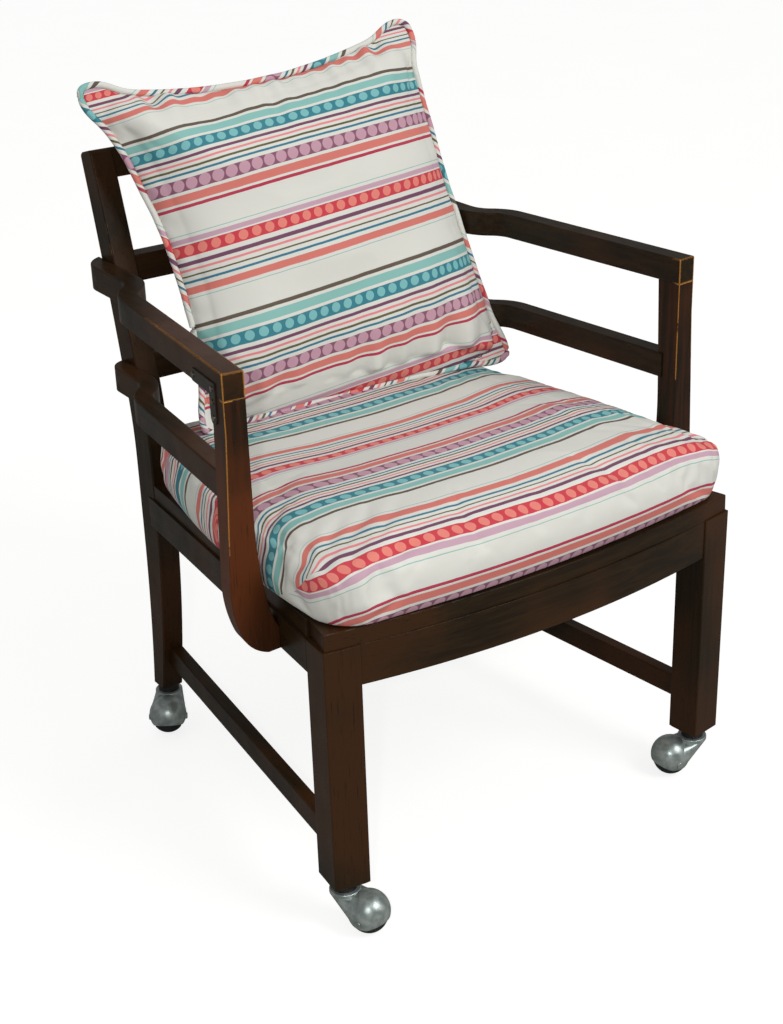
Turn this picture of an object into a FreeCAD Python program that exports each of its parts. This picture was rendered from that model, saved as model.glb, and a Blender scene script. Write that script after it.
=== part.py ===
import FreeCAD, Part
import math
import os

os.makedirs("parts", exist_ok=True)

# Planters armchair on ball casters. Millimetres, +Z up, +Y towards the back, X = 0 on the middle plane.
# It is drawn from the front edge of the seat, and moved at the end so that the middle of its
# footprint stands at the origin. The left side is drawn, and the right side is its mirror image.

# Seat frame and legs
seat_width = 591.0
seat_depth = 498.0
seat_height = 371.4
side_turn = math.radians(6.13)
seat_slope = math.radians(1.72)
leg_width = 44.45
leg_face_turn = math.radians(9.0)
foot_height = 59.0
foot_chamfer = 4.0
front_bow = 25.0
front_apron_setback = 3.0
front_apron_height = 49.7
front_apron_arch = 4.0
side_apron_height = 41.2
apron_thickness = 22.0
rear_apron_setback = 7.0
block_leg = 62.0
arris = 1.6

# Seat rim, the board let into it and the strips that carry the board
rim_height = 21.0
rim_width = 45.0
rim_setback = 3.0
rim_bow = 29.6
board_thickness = 9.0
board_clearance = 0.5
cleat_width = 12.0

# Rear posts, each sawn in one piece with its back leg
post_width = 30.0
post_depth = 43.0
post_height = 797.0
post_lean = 91.0
post_top_depth = 31.0
post_top_cut = math.radians(15.0)
post_top_round = 6.0
post_knee_front = 340.0
post_knee_back = 300.0
post_bend_height = 400.0
shoulder_front_rise = 120.0
shoulder_front_set = 14.0
shoulder_back_rise = 90.0
shoulder_back_set = 8.5
post_foot_set = 30.0
post_foot_depth = 28.0

# Side stretchers
stretcher_height = 30.0
stretcher_bottom = 95.7
stretcher_thickness = 17.0
stretcher_inset = 11.0

# Arms, their front stumps and the lower arm rails
arm_top = 662.0
arm_height = 31.2
arm_width = 25.4
arm_overhang = 47.2
arm_end = 593.0
arm_jog_start = 410.0
arm_jog_radius = 50.0
arm_nose = 38.0
stump_along = 111.6
stump_depth = 33.6
stump_foot_depth = 23.0
stump_plumb = 40.0
stump_swell = 7.7
stump_swell_height = 415.0
stump_heel_height = 353.0
stump_heel_inset = 2.0
stump_toe_inset = 32.5
stump_neck_height = 490.0
stump_flare_height = 386.0
stump_flare = 10.0
lower_rail_bottom = 505.5
lower_rail_height = 31.5
lower_rail_thickness = 23.5
lower_rail_inset = 3.7
lower_rail_end = 547.0
lower_rail_nose = 24.0
lower_rail_jog_start = 398.0

# Back rails
back_rail_thickness = 25.0
top_rail_height = 37.0
middle_rail_bottom = 632.0
middle_rail_height = 34.5
lower_back_rail_bottom = 511.5
lower_back_rail_height = 34.5

# Flat corner braces on the arms, and the fixings
brace_width = 15.0
brace_along = 66.0
brace_drop = 33.0
brace_thickness = 1.6
brace_screw_diameter = 3.6
brace_screw_length = 16.0
brace_head_diameter = 6.4
brace_head_height = 1.0
brace_screw_inset = 7.5
dowel_diameter = 10.0
dowel_length = 50.0
long_screw_diameter = 5.0
long_screw_length = 36.0
long_head_diameter = 10.0
long_head_height = 3.0
plug_diameter = 4.0
plug_length = 12.0
plug_out = 26.4
plug_rise = 22.7512
plug_spacing = 17.7
plug_stagger = 3.0

# Ball casters
collar_radius = 18.6
collar_top = 49.3
collar_height = 5.0
caster_trail = 31.5
hood_radius = 25.4
hood_centre_height = 27.0
hood_wall = 1.7
hood_mouth_height = 10.0
hood_mouth_slope = math.radians(25.0)
ball_radius = 22.5
ball_width = 34.0
ball_clearance = 0.8
axle_diameter = 5.0
axle_fit = 0.05
boss_diameter = 12.0
boss_clearance = 0.5
rivet_diameter = 9.0
rivet_height = 2.2
cheek_seat = 24.2
stem_diameter = 8.0
stem_fit = 0.05
stem_rise = 38.0
stem_base = 36.0
stem_tip = 2.0
sleeve_diameter = 11.0
sleeve_rise = 42.0
cup_diameter = 28.0
cup_gap = 0.3

# Seat cushion and back pillow
cushion_height = 82.6
cushion_crown = 17.9
cushion_round = 15.0
cushion_gap = 0.3
cushion_front_overhang = 5.0
cushion_front_bow = 27.0
cushion_turn_degrees = 1.6
cushion_side_front = 5.0
cushion_side_swell = 15.0
cushion_side_rear = -4.0
cushion_rear_gap = 2.0
cushion_corner = 42.0
cushion_draw = 9.0
pillow_width = 467.0
pillow_height = 447.0
pillow_front_depth = 60.0
pillow_back_depth = 66.6
pillow_draw = 40.0
pillow_lean = math.radians(18.4)
pillow_turn_degrees = -2.0
pillow_foot_back = 414.0
pillow_foot_drop = 3.7854

# One overrun serves every cut
overrun = 5.0

# Caster trails in the photographed position, degrees from +X about the swivel axis
trail_degrees = {"front_left": -65.7, "front_right": 167.9, "rear_left": 236.5, "rear_right": 62.0}

# Pillow corners as shares of its width and height, from the middle of its bottom edge
pillow_corner_shares = ((-0.424, 0.0), (0.568, 0.0), (0.433, 1.029), (-0.557, 0.968))
# How far each side is drawn in between its corners: bottom, right, top, left
pillow_draw_shares = (0.12, 0.28, 0.85, 1.0)
# Pillow sections from the seam to the middle of a face: share of thickness, share of size
pillow_section_shares = ((0.0, 1.0), (0.28, 0.94), (0.53, 0.84), (0.74, 0.7), (0.9, 0.5), (1.0, 0.2))
# Cushion sections: share of the height over the rim, inset as a share of the draw
cushion_section_shares = ((0.0, 1.0), (0.22, 0.25), (0.52, 0.0), (0.8, 0.2), (1.3, 1.6))
# A round corner's middle point lies this share of the way from its chord to the sharp corner
corner_share = math.sqrt(2.0) - 1.0

half_front = seat_width / 2.0
post_outer = half_front - (seat_depth + post_depth / 2.0) * math.tan(side_turn)
post_inner = post_outer - post_width
across = FreeCAD.Vector(1, 0, 0)
back = FreeCAD.Vector(0, 1, 0)
up = FreeCAD.Vector(0, 0, 1)
zero = FreeCAD.Vector(0, 0, 0)
side_along = FreeCAD.Vector(math.sin(side_turn), math.cos(side_turn), 0)
side_out = FreeCAD.Vector(-math.cos(side_turn), math.sin(side_turn), 0)
front_corner = FreeCAD.Vector(-half_front, 0, 0)


def at_side(along, out, height):
    """A point by the left side of the seat, from the front leg's outer corner."""
    return front_corner + side_along * along + side_out * out + up * height


def prism(points, sweep):
    return Part.Face(Part.makePolygon(list(points) + [points[0]])).extrude(sweep)


def arc(start, middle, end):
    return Part.Arc(start, middle, end).toShape()


def line(start, end):
    return Part.makeLine(start, end)


def solid_of(edges, sweep):
    return Part.Face(Part.Wire(edges)).extrude(sweep)


def rod(base, direction, diameter, length):
    return Part.makeCylinder(diameter / 2.0, length, base, direction)


def mirrored(shape):
    return shape.mirror(zero, across)


def tilted(shape):
    """Turn a piece drawn level on the seat frame to the slope of the seat."""
    turned = shape.copy()
    turned.rotate(up * seat_height, across, -math.degrees(seat_slope))
    return turned


def above_seat():
    """The space over the sloping top of the legs and aprons."""
    reach = seat_width + seat_depth
    block = Part.makeBox(reach, reach, seat_height, FreeCAD.Vector(-reach / 2.0, -reach / 4.0, seat_height))
    return tilted(block)


def seat_top(y):
    return seat_height - y * math.tan(seat_slope)


def eased(shape, radius, chosen):
    """Round the edges that chosen picks, as a worn arris."""
    edges = [edge for edge in shape.Edges if chosen(edge)]
    return shape.makeFillet(radius, edges)


def upright(edge):
    span = edge.BoundBox
    return span.ZLength > leg_width and span.XLength < arris and span.YLength < arris


def tangent_middle(start, heading, end):
    """The middle point of the arc that leaves start along heading and ends at end."""
    chord = end - start
    along = chord * (heading.dot(chord) / chord.dot(chord))
    side = heading - along
    turn = math.atan2(side.Length, heading.dot(chord) / chord.Length)
    if turn == 0.0:
        return start + chord * 0.5
    side.normalize()
    return start + chord * 0.5 + side * (chord.Length * 0.5 * math.tan(turn * 0.5))


def heading_after(start, heading, end):
    """The heading at the end of that arc."""
    chord = end - start
    chord.normalize()
    return chord * (2.0 * heading.dot(chord)) - heading


def leg_corners(height):
    """Plan of the front left leg: its sides follow the seat's side and its front the bow."""
    outer = at_side(0, 0, height)
    face = FreeCAD.Vector(math.cos(leg_face_turn), -math.sin(leg_face_turn), 0) * leg_width
    depth = side_along * leg_width
    return (outer, outer + face, outer + face + depth, outer + depth)


def leg_centre():
    corners = leg_corners(0)
    return (corners[0] + corners[2]) * 0.5


def front_leg():
    leg = prism(leg_corners(foot_height), up * (seat_height - foot_height + overrun)).cut(above_seat())
    sole = [edge for edge in leg.Edges if edge.BoundBox.ZMax < foot_height + arris]
    leg = leg.makeChamfer(foot_chamfer, sole)
    return eased(leg, arris, upright)


def post_outline():
    """Edges of a rear post in the YZ plane, at its outer face."""
    def at(y, z):
        return FreeCAD.Vector(-post_outer, y, z)
    rear = seat_depth + post_depth
    foot_front = at(seat_depth + post_foot_set, foot_height)
    foot_rear = foot_front + back * post_foot_depth
    knee_front = at(seat_depth, post_knee_front)
    knee_rear = at(rear, post_knee_back)
    bend_front = at(seat_depth, post_bend_height)
    bend_rear = at(rear, post_bend_height)
    shoulder_front = bend_front + back * shoulder_front_set + up * shoulder_front_rise
    shoulder_rear = bend_rear + back * shoulder_back_set + up * shoulder_back_rise
    top_front = at(seat_depth + post_lean, post_height)
    cut = back * math.cos(post_top_cut) - up * math.sin(post_top_cut)
    top_rear = top_front + cut * post_top_depth
    front_heading = heading_after(bend_front, up, shoulder_front)
    rear_heading = heading_after(bend_rear, up, shoulder_rear)
    return [
        arc(foot_front, tangent_middle(knee_front, -up, foot_front), knee_front),
        line(knee_front, bend_front),
        arc(bend_front, tangent_middle(bend_front, up, shoulder_front), shoulder_front),
        arc(shoulder_front, tangent_middle(shoulder_front, front_heading, top_front), top_front),
        line(top_front, top_rear),
        arc(top_rear, tangent_middle(shoulder_rear, rear_heading, top_rear), shoulder_rear),
        arc(shoulder_rear, tangent_middle(bend_rear, up, shoulder_rear), bend_rear),
        line(bend_rear, knee_rear),
        arc(knee_rear, tangent_middle(knee_rear, -up, foot_rear), foot_rear),
        line(foot_rear, foot_front),
    ]


def rear_post():
    post = solid_of(post_outline(), across * post_width)
    tops = [edge for edge in post.Edges
            if edge.BoundBox.ZMin > post_height - post_top_depth and edge.BoundBox.ZLength < arris]
    post = post.makeFillet(post_top_round, tops)
    return post.makeChamfer(arris, [edge for edge in post.Edges
                                    if edge.BoundBox.XLength < arris and edge.Length > post_depth])


def bowed_board(half_width, corner_y, bow, depth, bottom, height):
    """A board whose front and back are parallel arcs between -half_width and +half_width."""
    radius = (half_width * half_width + bow * bow) / (2.0 * bow)
    spread = math.asin(half_width / radius)
    centre = FreeCAD.Vector(0, corner_y - bow + radius, bottom)

    def at(size, angle):
        return centre + FreeCAD.Vector(math.sin(angle), -math.cos(angle), 0) * size
    inner = radius - depth
    edges = [
        arc(at(radius, -spread), at(radius, 0), at(radius, spread)),
        line(at(radius, spread), at(inner, spread)),
        arc(at(inner, spread), at(inner, 0), at(inner, -spread)),
        line(at(inner, -spread), at(radius, -spread)),
    ]
    return solid_of(edges, up * height)


def front_apron(leg):
    inner_front = leg_corners(0)[1]
    half = -inner_front.x
    bottom = seat_height - front_apron_height
    board = bowed_board(half + overrun, inner_front.y + front_apron_setback, front_bow, apron_thickness,
                        bottom, front_apron_height + overrun)
    radius = (half * half + front_apron_arch * front_apron_arch) / (2.0 * front_apron_arch)
    centre = FreeCAD.Vector(0, -seat_depth / 2.0, bottom + front_apron_arch - radius)
    board = board.cut(Part.makeCylinder(radius, seat_depth, centre, back))
    return board.cut([above_seat(), leg, mirrored(leg)])


def side_apron(leg, post):
    near = leg_width / 2.0
    far = seat_depth + post_depth / 2.0
    outline = [at_side(near, 0, 0), at_side(far, 0, 0), at_side(far, -apron_thickness, 0),
               at_side(near, -apron_thickness, 0)]
    board = prism(outline, up * side_apron_height)
    board.translate(up * (seat_height - side_apron_height))
    board = tilted(board)
    board = board.cut([leg, post])
    return max(board.Solids, key=lambda solid: solid.Volume)


def rear_apron():
    front = seat_depth + rear_apron_setback
    corner = FreeCAD.Vector(-post_inner, front, seat_top(front) - side_apron_height)
    board = Part.makeBox(2.0 * post_inner, apron_thickness, side_apron_height + overrun, corner)
    return board.cut(above_seat())


def corner_block_front(leg, side, front):
    height = side_apron_height / 2.0
    corner = at_side(leg_width / 2.0, -apron_thickness, 0)
    ends = (at_side(leg_width + block_leg, -apron_thickness, 0), corner + across * (leg_width + block_leg))
    low = seat_top(leg_width + block_leg) - height
    block = prism([corner, ends[1], ends[0]], up * (height + overrun))
    block.translate(up * low)
    block = block.cut([above_seat(), leg, side, front])
    return max(block.Solids, key=lambda solid: solid.Volume)


def corner_block_rear(post, side, rear):
    height = side_apron_height / 2.0
    corner = FreeCAD.Vector(-post_inner - apron_thickness, seat_depth + rear_apron_setback, 0)
    ends = (corner + across * (block_leg + apron_thickness), corner - back * block_leg)
    block = prism([corner, ends[0], ends[1]], up * (height + overrun))
    block.translate(up * (seat_top(seat_depth) - height))
    block = block.cut([above_seat(), post, side, rear])
    return max(block.Solids, key=lambda solid: solid.Volume)


def rim_front():
    side = at_side(0, -rim_setback, 0)
    near = bowed_board(-side.x, side.y + rim_setback, rim_bow, rim_width + rim_bow + overrun,
                       seat_height, rim_height)
    keep = [at_side(-rim_bow - rim_width, -rim_setback, seat_height), at_side(rim_width, -rim_setback, seat_height)]
    keep = keep + [FreeCAD.Vector(-point.x, point.y, point.z) for point in reversed(keep)]
    near = near.common(prism(keep, up * rim_height))
    return eased(tilted(near), arris, lambda edge: edge.BoundBox.XLength > seat_width / 2.0
                 and edge.BoundBox.YMin < -rim_bow / 2.0 and edge.BoundBox.ZMin > seat_height + rim_height / 2.0)


def rim_side(post):
    near = at_side(rim_width, 0, 0).y
    reach = (seat_depth + post_depth) / math.cos(side_turn)
    start = at_side(rim_width, -rim_setback, seat_height)
    outline = [start, at_side(reach, -rim_setback, seat_height),
               at_side(reach, -rim_setback - rim_width, seat_height),
               at_side(rim_width, -rim_setback - rim_width, seat_height)]
    strip = prism(outline, up * rim_height)
    room = Part.makeBox(seat_width, seat_depth - start.y, rim_height,
                        FreeCAD.Vector(-seat_width, start.y, seat_height))
    strip = tilted(strip.common(room)).cut(post)
    return max(strip.Solids, key=lambda solid: solid.Volume)


def rim_rear():
    corner = FreeCAD.Vector(-post_inner, seat_depth, seat_height)
    return tilted(Part.makeBox(2.0 * post_inner, post_depth - arris, rim_height, corner))


def opening_corners(gap):
    """Plan of the opening inside the rim, drawn in by gap."""
    near = at_side(rim_width, -rim_setback, 0).y + gap
    far = seat_depth - gap
    edge = -(rim_setback + rim_width) / math.cos(side_turn)

    def side_x(y):
        return -half_front + y * math.tan(side_turn) - edge + gap
    return [FreeCAD.Vector(side_x(near), near, 0), FreeCAD.Vector(-side_x(near), near, 0),
            FreeCAD.Vector(-side_x(far), far, 0), FreeCAD.Vector(side_x(far), far, 0)]


def seat_board():
    board = prism(opening_corners(board_clearance), up * board_thickness)
    board.translate(up * (seat_height + rim_height - board_thickness))
    return tilted(board)


def seat_cleats():
    """Four strips inside the rim, under the edges of the board."""
    outer = opening_corners(0)
    inner = opening_corners(cleat_width)
    height = rim_height - board_thickness
    strips = []
    for index in range(4):
        following = (index + 1) % 4
        strip = prism([outer[index], outer[following], inner[following], inner[index]], up * height)
        strip.translate(up * seat_height)
        strips.append(tilted(strip))
    return strips


def side_stretcher(post):
    near = leg_width
    far = seat_depth + post_depth
    outline = [at_side(near, -stretcher_inset, stretcher_bottom), at_side(far, -stretcher_inset, stretcher_bottom),
               at_side(far, -stretcher_inset - stretcher_thickness, stretcher_bottom),
               at_side(near, -stretcher_inset - stretcher_thickness, stretcher_bottom)]
    bar = prism(outline, up * stretcher_height).cut(post)
    bar = max(bar.Solids, key=lambda solid: solid.BoundBox.YLength)
    return eased(bar, arris, lambda edge: edge.Length > seat_depth / 2.0)


def arm_stump():
    """The sawn bracket under the front of an arm, drawn on its front face and swept back."""
    def at(inset, height):
        return at_side(stump_along, arm_overhang - inset, height)
    arm_bottom = arm_top - arm_height
    toe = seat_top(stump_along) - side_apron_height
    plumb_foot = at(0, arm_bottom - stump_plumb)
    swell = at(-stump_swell, stump_swell_height)
    heel = at(stump_heel_inset, stump_heel_height)
    toe_point = at(stump_toe_inset, toe - arris)
    inner_low = at(arm_overhang, toe)
    inner_high = at(arm_overhang, stump_heel_height)
    flare = at(arm_width + stump_flare, stump_flare_height)
    neck = at(arm_width, stump_neck_height)
    heading = swell - plumb_foot
    heading.normalize()
    heel_heading = heading_after(swell, heading, heel)
    flare_heading = heading_after(neck, -up, flare)
    edges = [
        line(at(0, arm_bottom), plumb_foot),
        line(plumb_foot, swell),
        arc(swell, tangent_middle(swell, heading, heel), heel),
        arc(heel, tangent_middle(heel, heel_heading, toe_point), toe_point),
        line(toe_point, inner_low),
        line(inner_low, inner_high),
        arc(inner_high, tangent_middle(flare, flare_heading, inner_high), flare),
        arc(flare, tangent_middle(neck, -up, flare), neck),
        line(neck, at(arm_width, arm_bottom)),
        line(at(arm_width, arm_bottom), at(0, arm_bottom)),
    ]
    stump = solid_of(edges, side_along * stump_depth)
    rear = stump_along + stump_depth
    foot = stump_along + stump_foot_depth
    spare = [at_side(rear, -arm_overhang, arm_bottom), at_side(foot, -arm_overhang, toe),
             at_side(foot, -arm_overhang, toe - overrun), at_side(rear + overrun, -arm_overhang, toe - overrun),
             at_side(rear + overrun, -arm_overhang, arm_bottom)]
    return stump.cut(prism(spare, side_out * (3.0 * arm_overhang)))


def jogged_bar(start_along, out, width, jog_along, end_y, nose, bottom, height):
    """A level bar along the seat's side that jogs in to the post's outer face, with a rounded nose."""
    def direction(turn):
        return FreeCAD.Vector(math.sin(turn), math.cos(turn), 0)

    def outward(turn):
        return FreeCAD.Vector(-math.cos(turn), math.sin(turn), 0)
    half = width / 2.0
    middle_out = out - half
    start = at_side(start_along, middle_out, bottom)
    first = at_side(jog_along, middle_out, bottom)
    shift = -post_outer - half - first.x
    turn = math.acos((1.0 + math.cos(side_turn) - shift / arm_jog_radius) / 2.0)
    centre_in = first - outward(side_turn) * arm_jog_radius
    second = centre_in + outward(turn) * arm_jog_radius
    centre_out = second + outward(turn) * arm_jog_radius
    third = centre_out - outward(0) * arm_jog_radius
    middle_in = (side_turn + turn) / 2.0
    middle_back = turn / 2.0

    def before(angle, offset):
        return centre_in + outward(angle) * (arm_jog_radius + offset)

    def after(angle, offset):
        return centre_out - outward(angle) * (arm_jog_radius - offset)
    end = FreeCAD.Vector(third.x, end_y, bottom)
    nose_start = end - across * half - back * nose
    nose_end = end + across * half
    edges = [
        line(start + side_out * half, first + side_out * half),
        arc(before(side_turn, half), before(middle_in, half), before(turn, half)),
        arc(after(turn, half), after(middle_back, half), after(0, half)),
        line(third - across * half, nose_start),
        arc(nose_start, tangent_middle(nose_start, back, nose_end), nose_end),
        line(nose_end, third + across * half),
        arc(after(0, -half), after(middle_back, -half), after(turn, -half)),
        arc(before(turn, -half), before(middle_in, -half), before(side_turn, -half)),
        line(first - side_out * half, start - side_out * half),
        line(start - side_out * half, start + side_out * half),
    ]
    return solid_of(edges, up * height)


def arm():
    bar = jogged_bar(stump_along, arm_overhang, arm_width, arm_jog_start, arm_end, arm_nose,
                     arm_top - arm_height, arm_height)
    return eased(bar, arris, lambda edge: edge.BoundBox.ZMin > arm_top - arris and edge.BoundBox.ZLength < arris)


def lower_rail(stump):
    bar = jogged_bar(stump_along + stump_foot_depth, arm_overhang - lower_rail_inset, lower_rail_thickness,
                     lower_rail_jog_start, lower_rail_end, lower_rail_nose, lower_rail_bottom, lower_rail_height)
    top = lower_rail_bottom + lower_rail_height
    bar = eased(bar, arris, lambda edge: edge.BoundBox.ZMin > top - arris and edge.BoundBox.ZLength < arris
                and edge.BoundBox.YMin > stump_along + stump_depth)
    bar = bar.cut(stump)
    return max(bar.Solids, key=lambda solid: solid.Volume)


def post_front_at(height):
    """Where the post's front face is, at a height above its shoulder."""
    shoulder = FreeCAD.Vector(0, seat_depth + shoulder_front_set, post_bend_height + shoulder_front_rise)
    share = (height - shoulder.z) / (post_height - shoulder.z)
    return shoulder.y + (seat_depth + post_lean - shoulder.y) * share


def back_rail(bottom, height):
    """A plumb rail between the posts, its top front edge level with their front faces."""
    front = post_front_at(bottom + height)
    bar = Part.makeBox(2.0 * post_inner, back_rail_thickness, height, FreeCAD.Vector(-post_inner, front, bottom))
    return eased(bar, arris, lambda edge: edge.BoundBox.XLength > post_inner)


def back_rail_top():
    """The top rail leans with the posts."""
    top = FreeCAD.Vector(-post_inner, seat_depth + post_lean, post_height)
    bar = Part.makeBox(2.0 * post_inner, back_rail_thickness, top_rail_height,
                       top - up * top_rail_height + back * ((post_top_depth - back_rail_thickness) / 2.0))
    bar.rotate(top, across, -math.degrees(post_top_cut))
    return eased(bar, arris, lambda edge: edge.BoundBox.XLength > post_inner)


def brace():
    """A flat steel L on the outer face of the arm and stump, flush with the arm's bottom edge."""
    arm_bottom = arm_top - arm_height
    rear = stump_along + stump_depth
    round_radius = brace_width / 2.0

    def at(along, height):
        return at_side(along, arm_overhang, height)
    far = stump_along + stump_depth - brace_width + brace_along
    low = arm_bottom - brace_drop
    top = arm_bottom + brace_width
    edges = [
        line(at(rear - brace_width, low + round_radius), at(rear - brace_width, top)),
        line(at(rear - brace_width, top), at(far - round_radius, top)),
        arc(at(far - round_radius, top), at(far, arm_bottom + round_radius), at(far - round_radius, arm_bottom)),
        line(at(far - round_radius, arm_bottom), at(rear, arm_bottom)),
        line(at(rear, arm_bottom), at(rear, low + round_radius)),
        arc(at(rear, low + round_radius), at(rear - round_radius, low), at(rear - brace_width, low + round_radius)),
    ]
    return solid_of(edges, side_out * brace_thickness)


def brace_screws():
    """Four round headed screws through a brace."""
    arm_bottom = arm_top - arm_height
    rear = stump_along + stump_depth
    far = rear - brace_width + brace_along
    places = ((far - brace_screw_inset, arm_bottom + brace_screw_inset),
              (rear - brace_screw_inset, arm_bottom + brace_screw_inset),
              (rear - brace_screw_inset, arm_bottom - brace_screw_inset),
              (rear - brace_screw_inset, arm_bottom - brace_drop + brace_screw_inset))
    screws = []
    for along, height in places:
        seat = at_side(along, arm_overhang + brace_thickness, height)
        head = rod(seat, side_out, brace_head_diameter, brace_head_height)
        screws.append(head.fuse(rod(seat, -side_out, brace_screw_diameter, brace_screw_length)))
    return screws


def long_screw(seat, direction):
    """A screw with its head let in flush at seat, and its shank along direction."""
    head = rod(seat, direction, long_head_diameter, long_head_height)
    return head.fuse(rod(seat, direction, long_screw_diameter, long_screw_length))


def stump_screws():
    """Two screws from inside the side apron into the foot of the stump."""
    middle = stump_along + stump_depth / 2.0
    height = seat_top(middle) - side_apron_height / 2.0
    spread = stump_depth / 4.0
    return [long_screw(at_side(middle + offset, -apron_thickness, height), side_out) for offset in (-spread, spread)]


def stump_plugs():
    """Two small plugs on the front face of the stump's foot."""
    middle = seat_top(stump_along) - side_apron_height + plug_rise
    return [rod(at_side(stump_along, plug_out - side * plug_stagger / 2.0, middle + side * plug_spacing / 2.0),
                side_along, plug_diameter, plug_length) for side in (-1, 1)]


def arm_screws():
    """Screws through the rear ends of the arm and the lower arm rail into the post."""
    screws = []
    for height, width in ((arm_top - arm_height / 2.0, arm_width),
                          (lower_rail_bottom + lower_rail_height / 2.0, lower_rail_thickness)):
        seat = FreeCAD.Vector(-post_outer - width, post_front_at(height) + long_head_diameter, height)
        screws.append(long_screw(seat, across))
    return screws


def frame_dowels():
    """Dowels across the glued joints of the left half, each half in one piece and half in the other."""
    half = dowel_length / 2.0
    inner_front = leg_corners(0)[1]
    quarter = side_apron_height / 4.0
    dowels = []
    for offset in (quarter, 3.0 * quarter):
        level = seat_height - offset
        start = inner_front + back * (front_apron_setback + apron_thickness / 2.0) + up * level
        dowels.append(rod(start - across * half, across, dowel_diameter, dowel_length))
        joint = at_side(leg_width, -apron_thickness / 2.0, 0)
        dowels.append(rod(joint + up * (seat_top(joint.y) - offset) - side_along * half, side_along,
                          dowel_diameter, dowel_length))
        joint = at_side(seat_depth / math.cos(side_turn), -apron_thickness / 2.0, 0)
        dowels.append(rod(joint + up * (seat_top(joint.y) - offset) - side_along * half, side_along,
                          dowel_diameter, dowel_length))
        joint = FreeCAD.Vector(-post_inner, seat_depth + rear_apron_setback + apron_thickness / 2.0, 0)
        dowels.append(rod(joint + up * (seat_top(joint.y) - offset) - across * (post_width / 2.0), across,
                          dowel_diameter, dowel_length))
    return dowels


def rail_dowels():
    """Dowels at the left ends of the three back rails and both ends of the left stretcher."""
    dowels = []
    for bottom, height in ((middle_rail_bottom, middle_rail_height), (lower_back_rail_bottom, lower_back_rail_height),
                           (post_height - top_rail_height, top_rail_height)):
        y = post_front_at(bottom + height / 2.0) + post_top_depth / 2.0
        base = FreeCAD.Vector(-post_inner - post_width / 2.0, y, bottom + height / 2.0)
        dowels.append(rod(base, across, dowel_diameter, dowel_length))
    middle = -stretcher_inset - stretcher_thickness / 2.0
    level = stretcher_bottom + stretcher_height / 2.0
    for along in (leg_width, (seat_depth + post_foot_set) / math.cos(side_turn)):
        base = at_side(along, middle, level) - side_along * (dowel_length / 2.0)
        dowels.append(rod(base, side_along, dowel_diameter, dowel_length))
    return dowels


def caster_socket():
    """The bearing cup under the leg and the sleeve driven up into it, in one turned piece."""
    bottom = collar_top + cup_gap
    cup = rod(up * bottom, up, cup_diameter, foot_height - bottom)
    sleeve = rod(up * foot_height, up, sleeve_diameter, sleeve_rise)
    bore = rod(up * (bottom - overrun), up, stem_diameter, foot_height + stem_rise + stem_tip - bottom + overrun)
    return cup.fuse(sleeve).cut(bore)


def caster_stem():
    radius = stem_diameter / 2.0 - stem_fit
    stem = Part.makeCylinder(radius, foot_height + stem_rise - stem_base, up * stem_base, up)
    tips = [edge for edge in stem.Edges if edge.BoundBox.ZMin > foot_height]
    return stem.makeChamfer(stem_tip, [tip for tip in tips if tip.BoundBox.ZLength < arris])


def caster_hood():
    """A round hood over the ball, with a collar that leans over to the stem."""
    centre = FreeCAD.Vector(caster_trail, 0, hood_centre_height)
    collar_base = up * (collar_top - collar_height)
    axis = centre - collar_base
    axis.normalize()
    upper = Part.Wire(Part.Circle(collar_base, up, collar_radius).toShape())
    lower = Part.Wire(Part.Circle(centre, axis, hood_radius).toShape())
    web = Part.makeLoft([upper, lower], True, True)
    collar = Part.makeCylinder(collar_radius, collar_height, collar_base, up)
    rim = [edge for edge in collar.Edges if edge.BoundBox.ZMin > collar_top - arris]
    collar = collar.makeFillet(arris, rim)
    shell = Part.makeSphere(hood_radius, centre).fuse([web, collar]).removeSplitter()
    hollow = Part.makeSphere(hood_radius - hood_wall, centre)
    ball_room = Part.makeSphere(ball_radius + ball_clearance, centre + up * (ball_radius - hood_centre_height))
    shell = shell.cut(hollow.fuse(ball_room))
    reach = caster_trail + hood_radius + collar_radius
    mouth = Part.makeBox(2.0 * reach, 2.0 * reach, reach, FreeCAD.Vector(-reach, -reach, hood_mouth_height - reach))
    mouth.rotate(FreeCAD.Vector(0, 0, hood_mouth_height), back, -math.degrees(hood_mouth_slope))
    mouth.translate(across * caster_trail)
    shell = shell.cut(mouth)
    shell = max(shell.Solids, key=lambda solid: solid.Volume)
    hub = FreeCAD.Vector(caster_trail, 0, ball_radius)
    inner = ball_width / 2.0 + boss_clearance
    round_body = Part.makeSphere(hood_radius - hood_wall / 2.0, centre)
    for side in (-1, 1):
        boss = rod(hub + back * (side * inner), back * side, boss_diameter, hood_radius - inner)
        shell = shell.fuse(boss.common(round_body))
    for side in (-1, 1):
        shell = shell.cut(rod(hub + back * (side * cheek_seat), back * side, rivet_diameter, hood_radius))
    shell = shell.cut(rod(hub - back * hood_radius, back, axle_diameter, 2.0 * hood_radius))
    return shell.cut(rod(up * stem_base, up, stem_diameter - 2.0 * stem_fit, stem_rise)).removeSplitter()


def caster_axle():
    """A riveted pin through both cheeks."""
    hub = FreeCAD.Vector(caster_trail, 0, ball_radius)
    pin = rod(hub - back * cheek_seat, back, axle_diameter, 2.0 * cheek_seat)
    for side in (-1, 1):
        head = rod(hub + back * (side * cheek_seat), back * side, rivet_diameter, rivet_height)
        rims = [edge for edge in head.Edges if abs(edge.BoundBox.YMin) > cheek_seat + rivet_height / 2.0
                and abs(edge.BoundBox.YMax) > cheek_seat + rivet_height / 2.0 and edge.BoundBox.YLength < arris / 2.0]
        pin = pin.fuse(head.makeFillet(rivet_height / 2.0, rims))
    return pin


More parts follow.
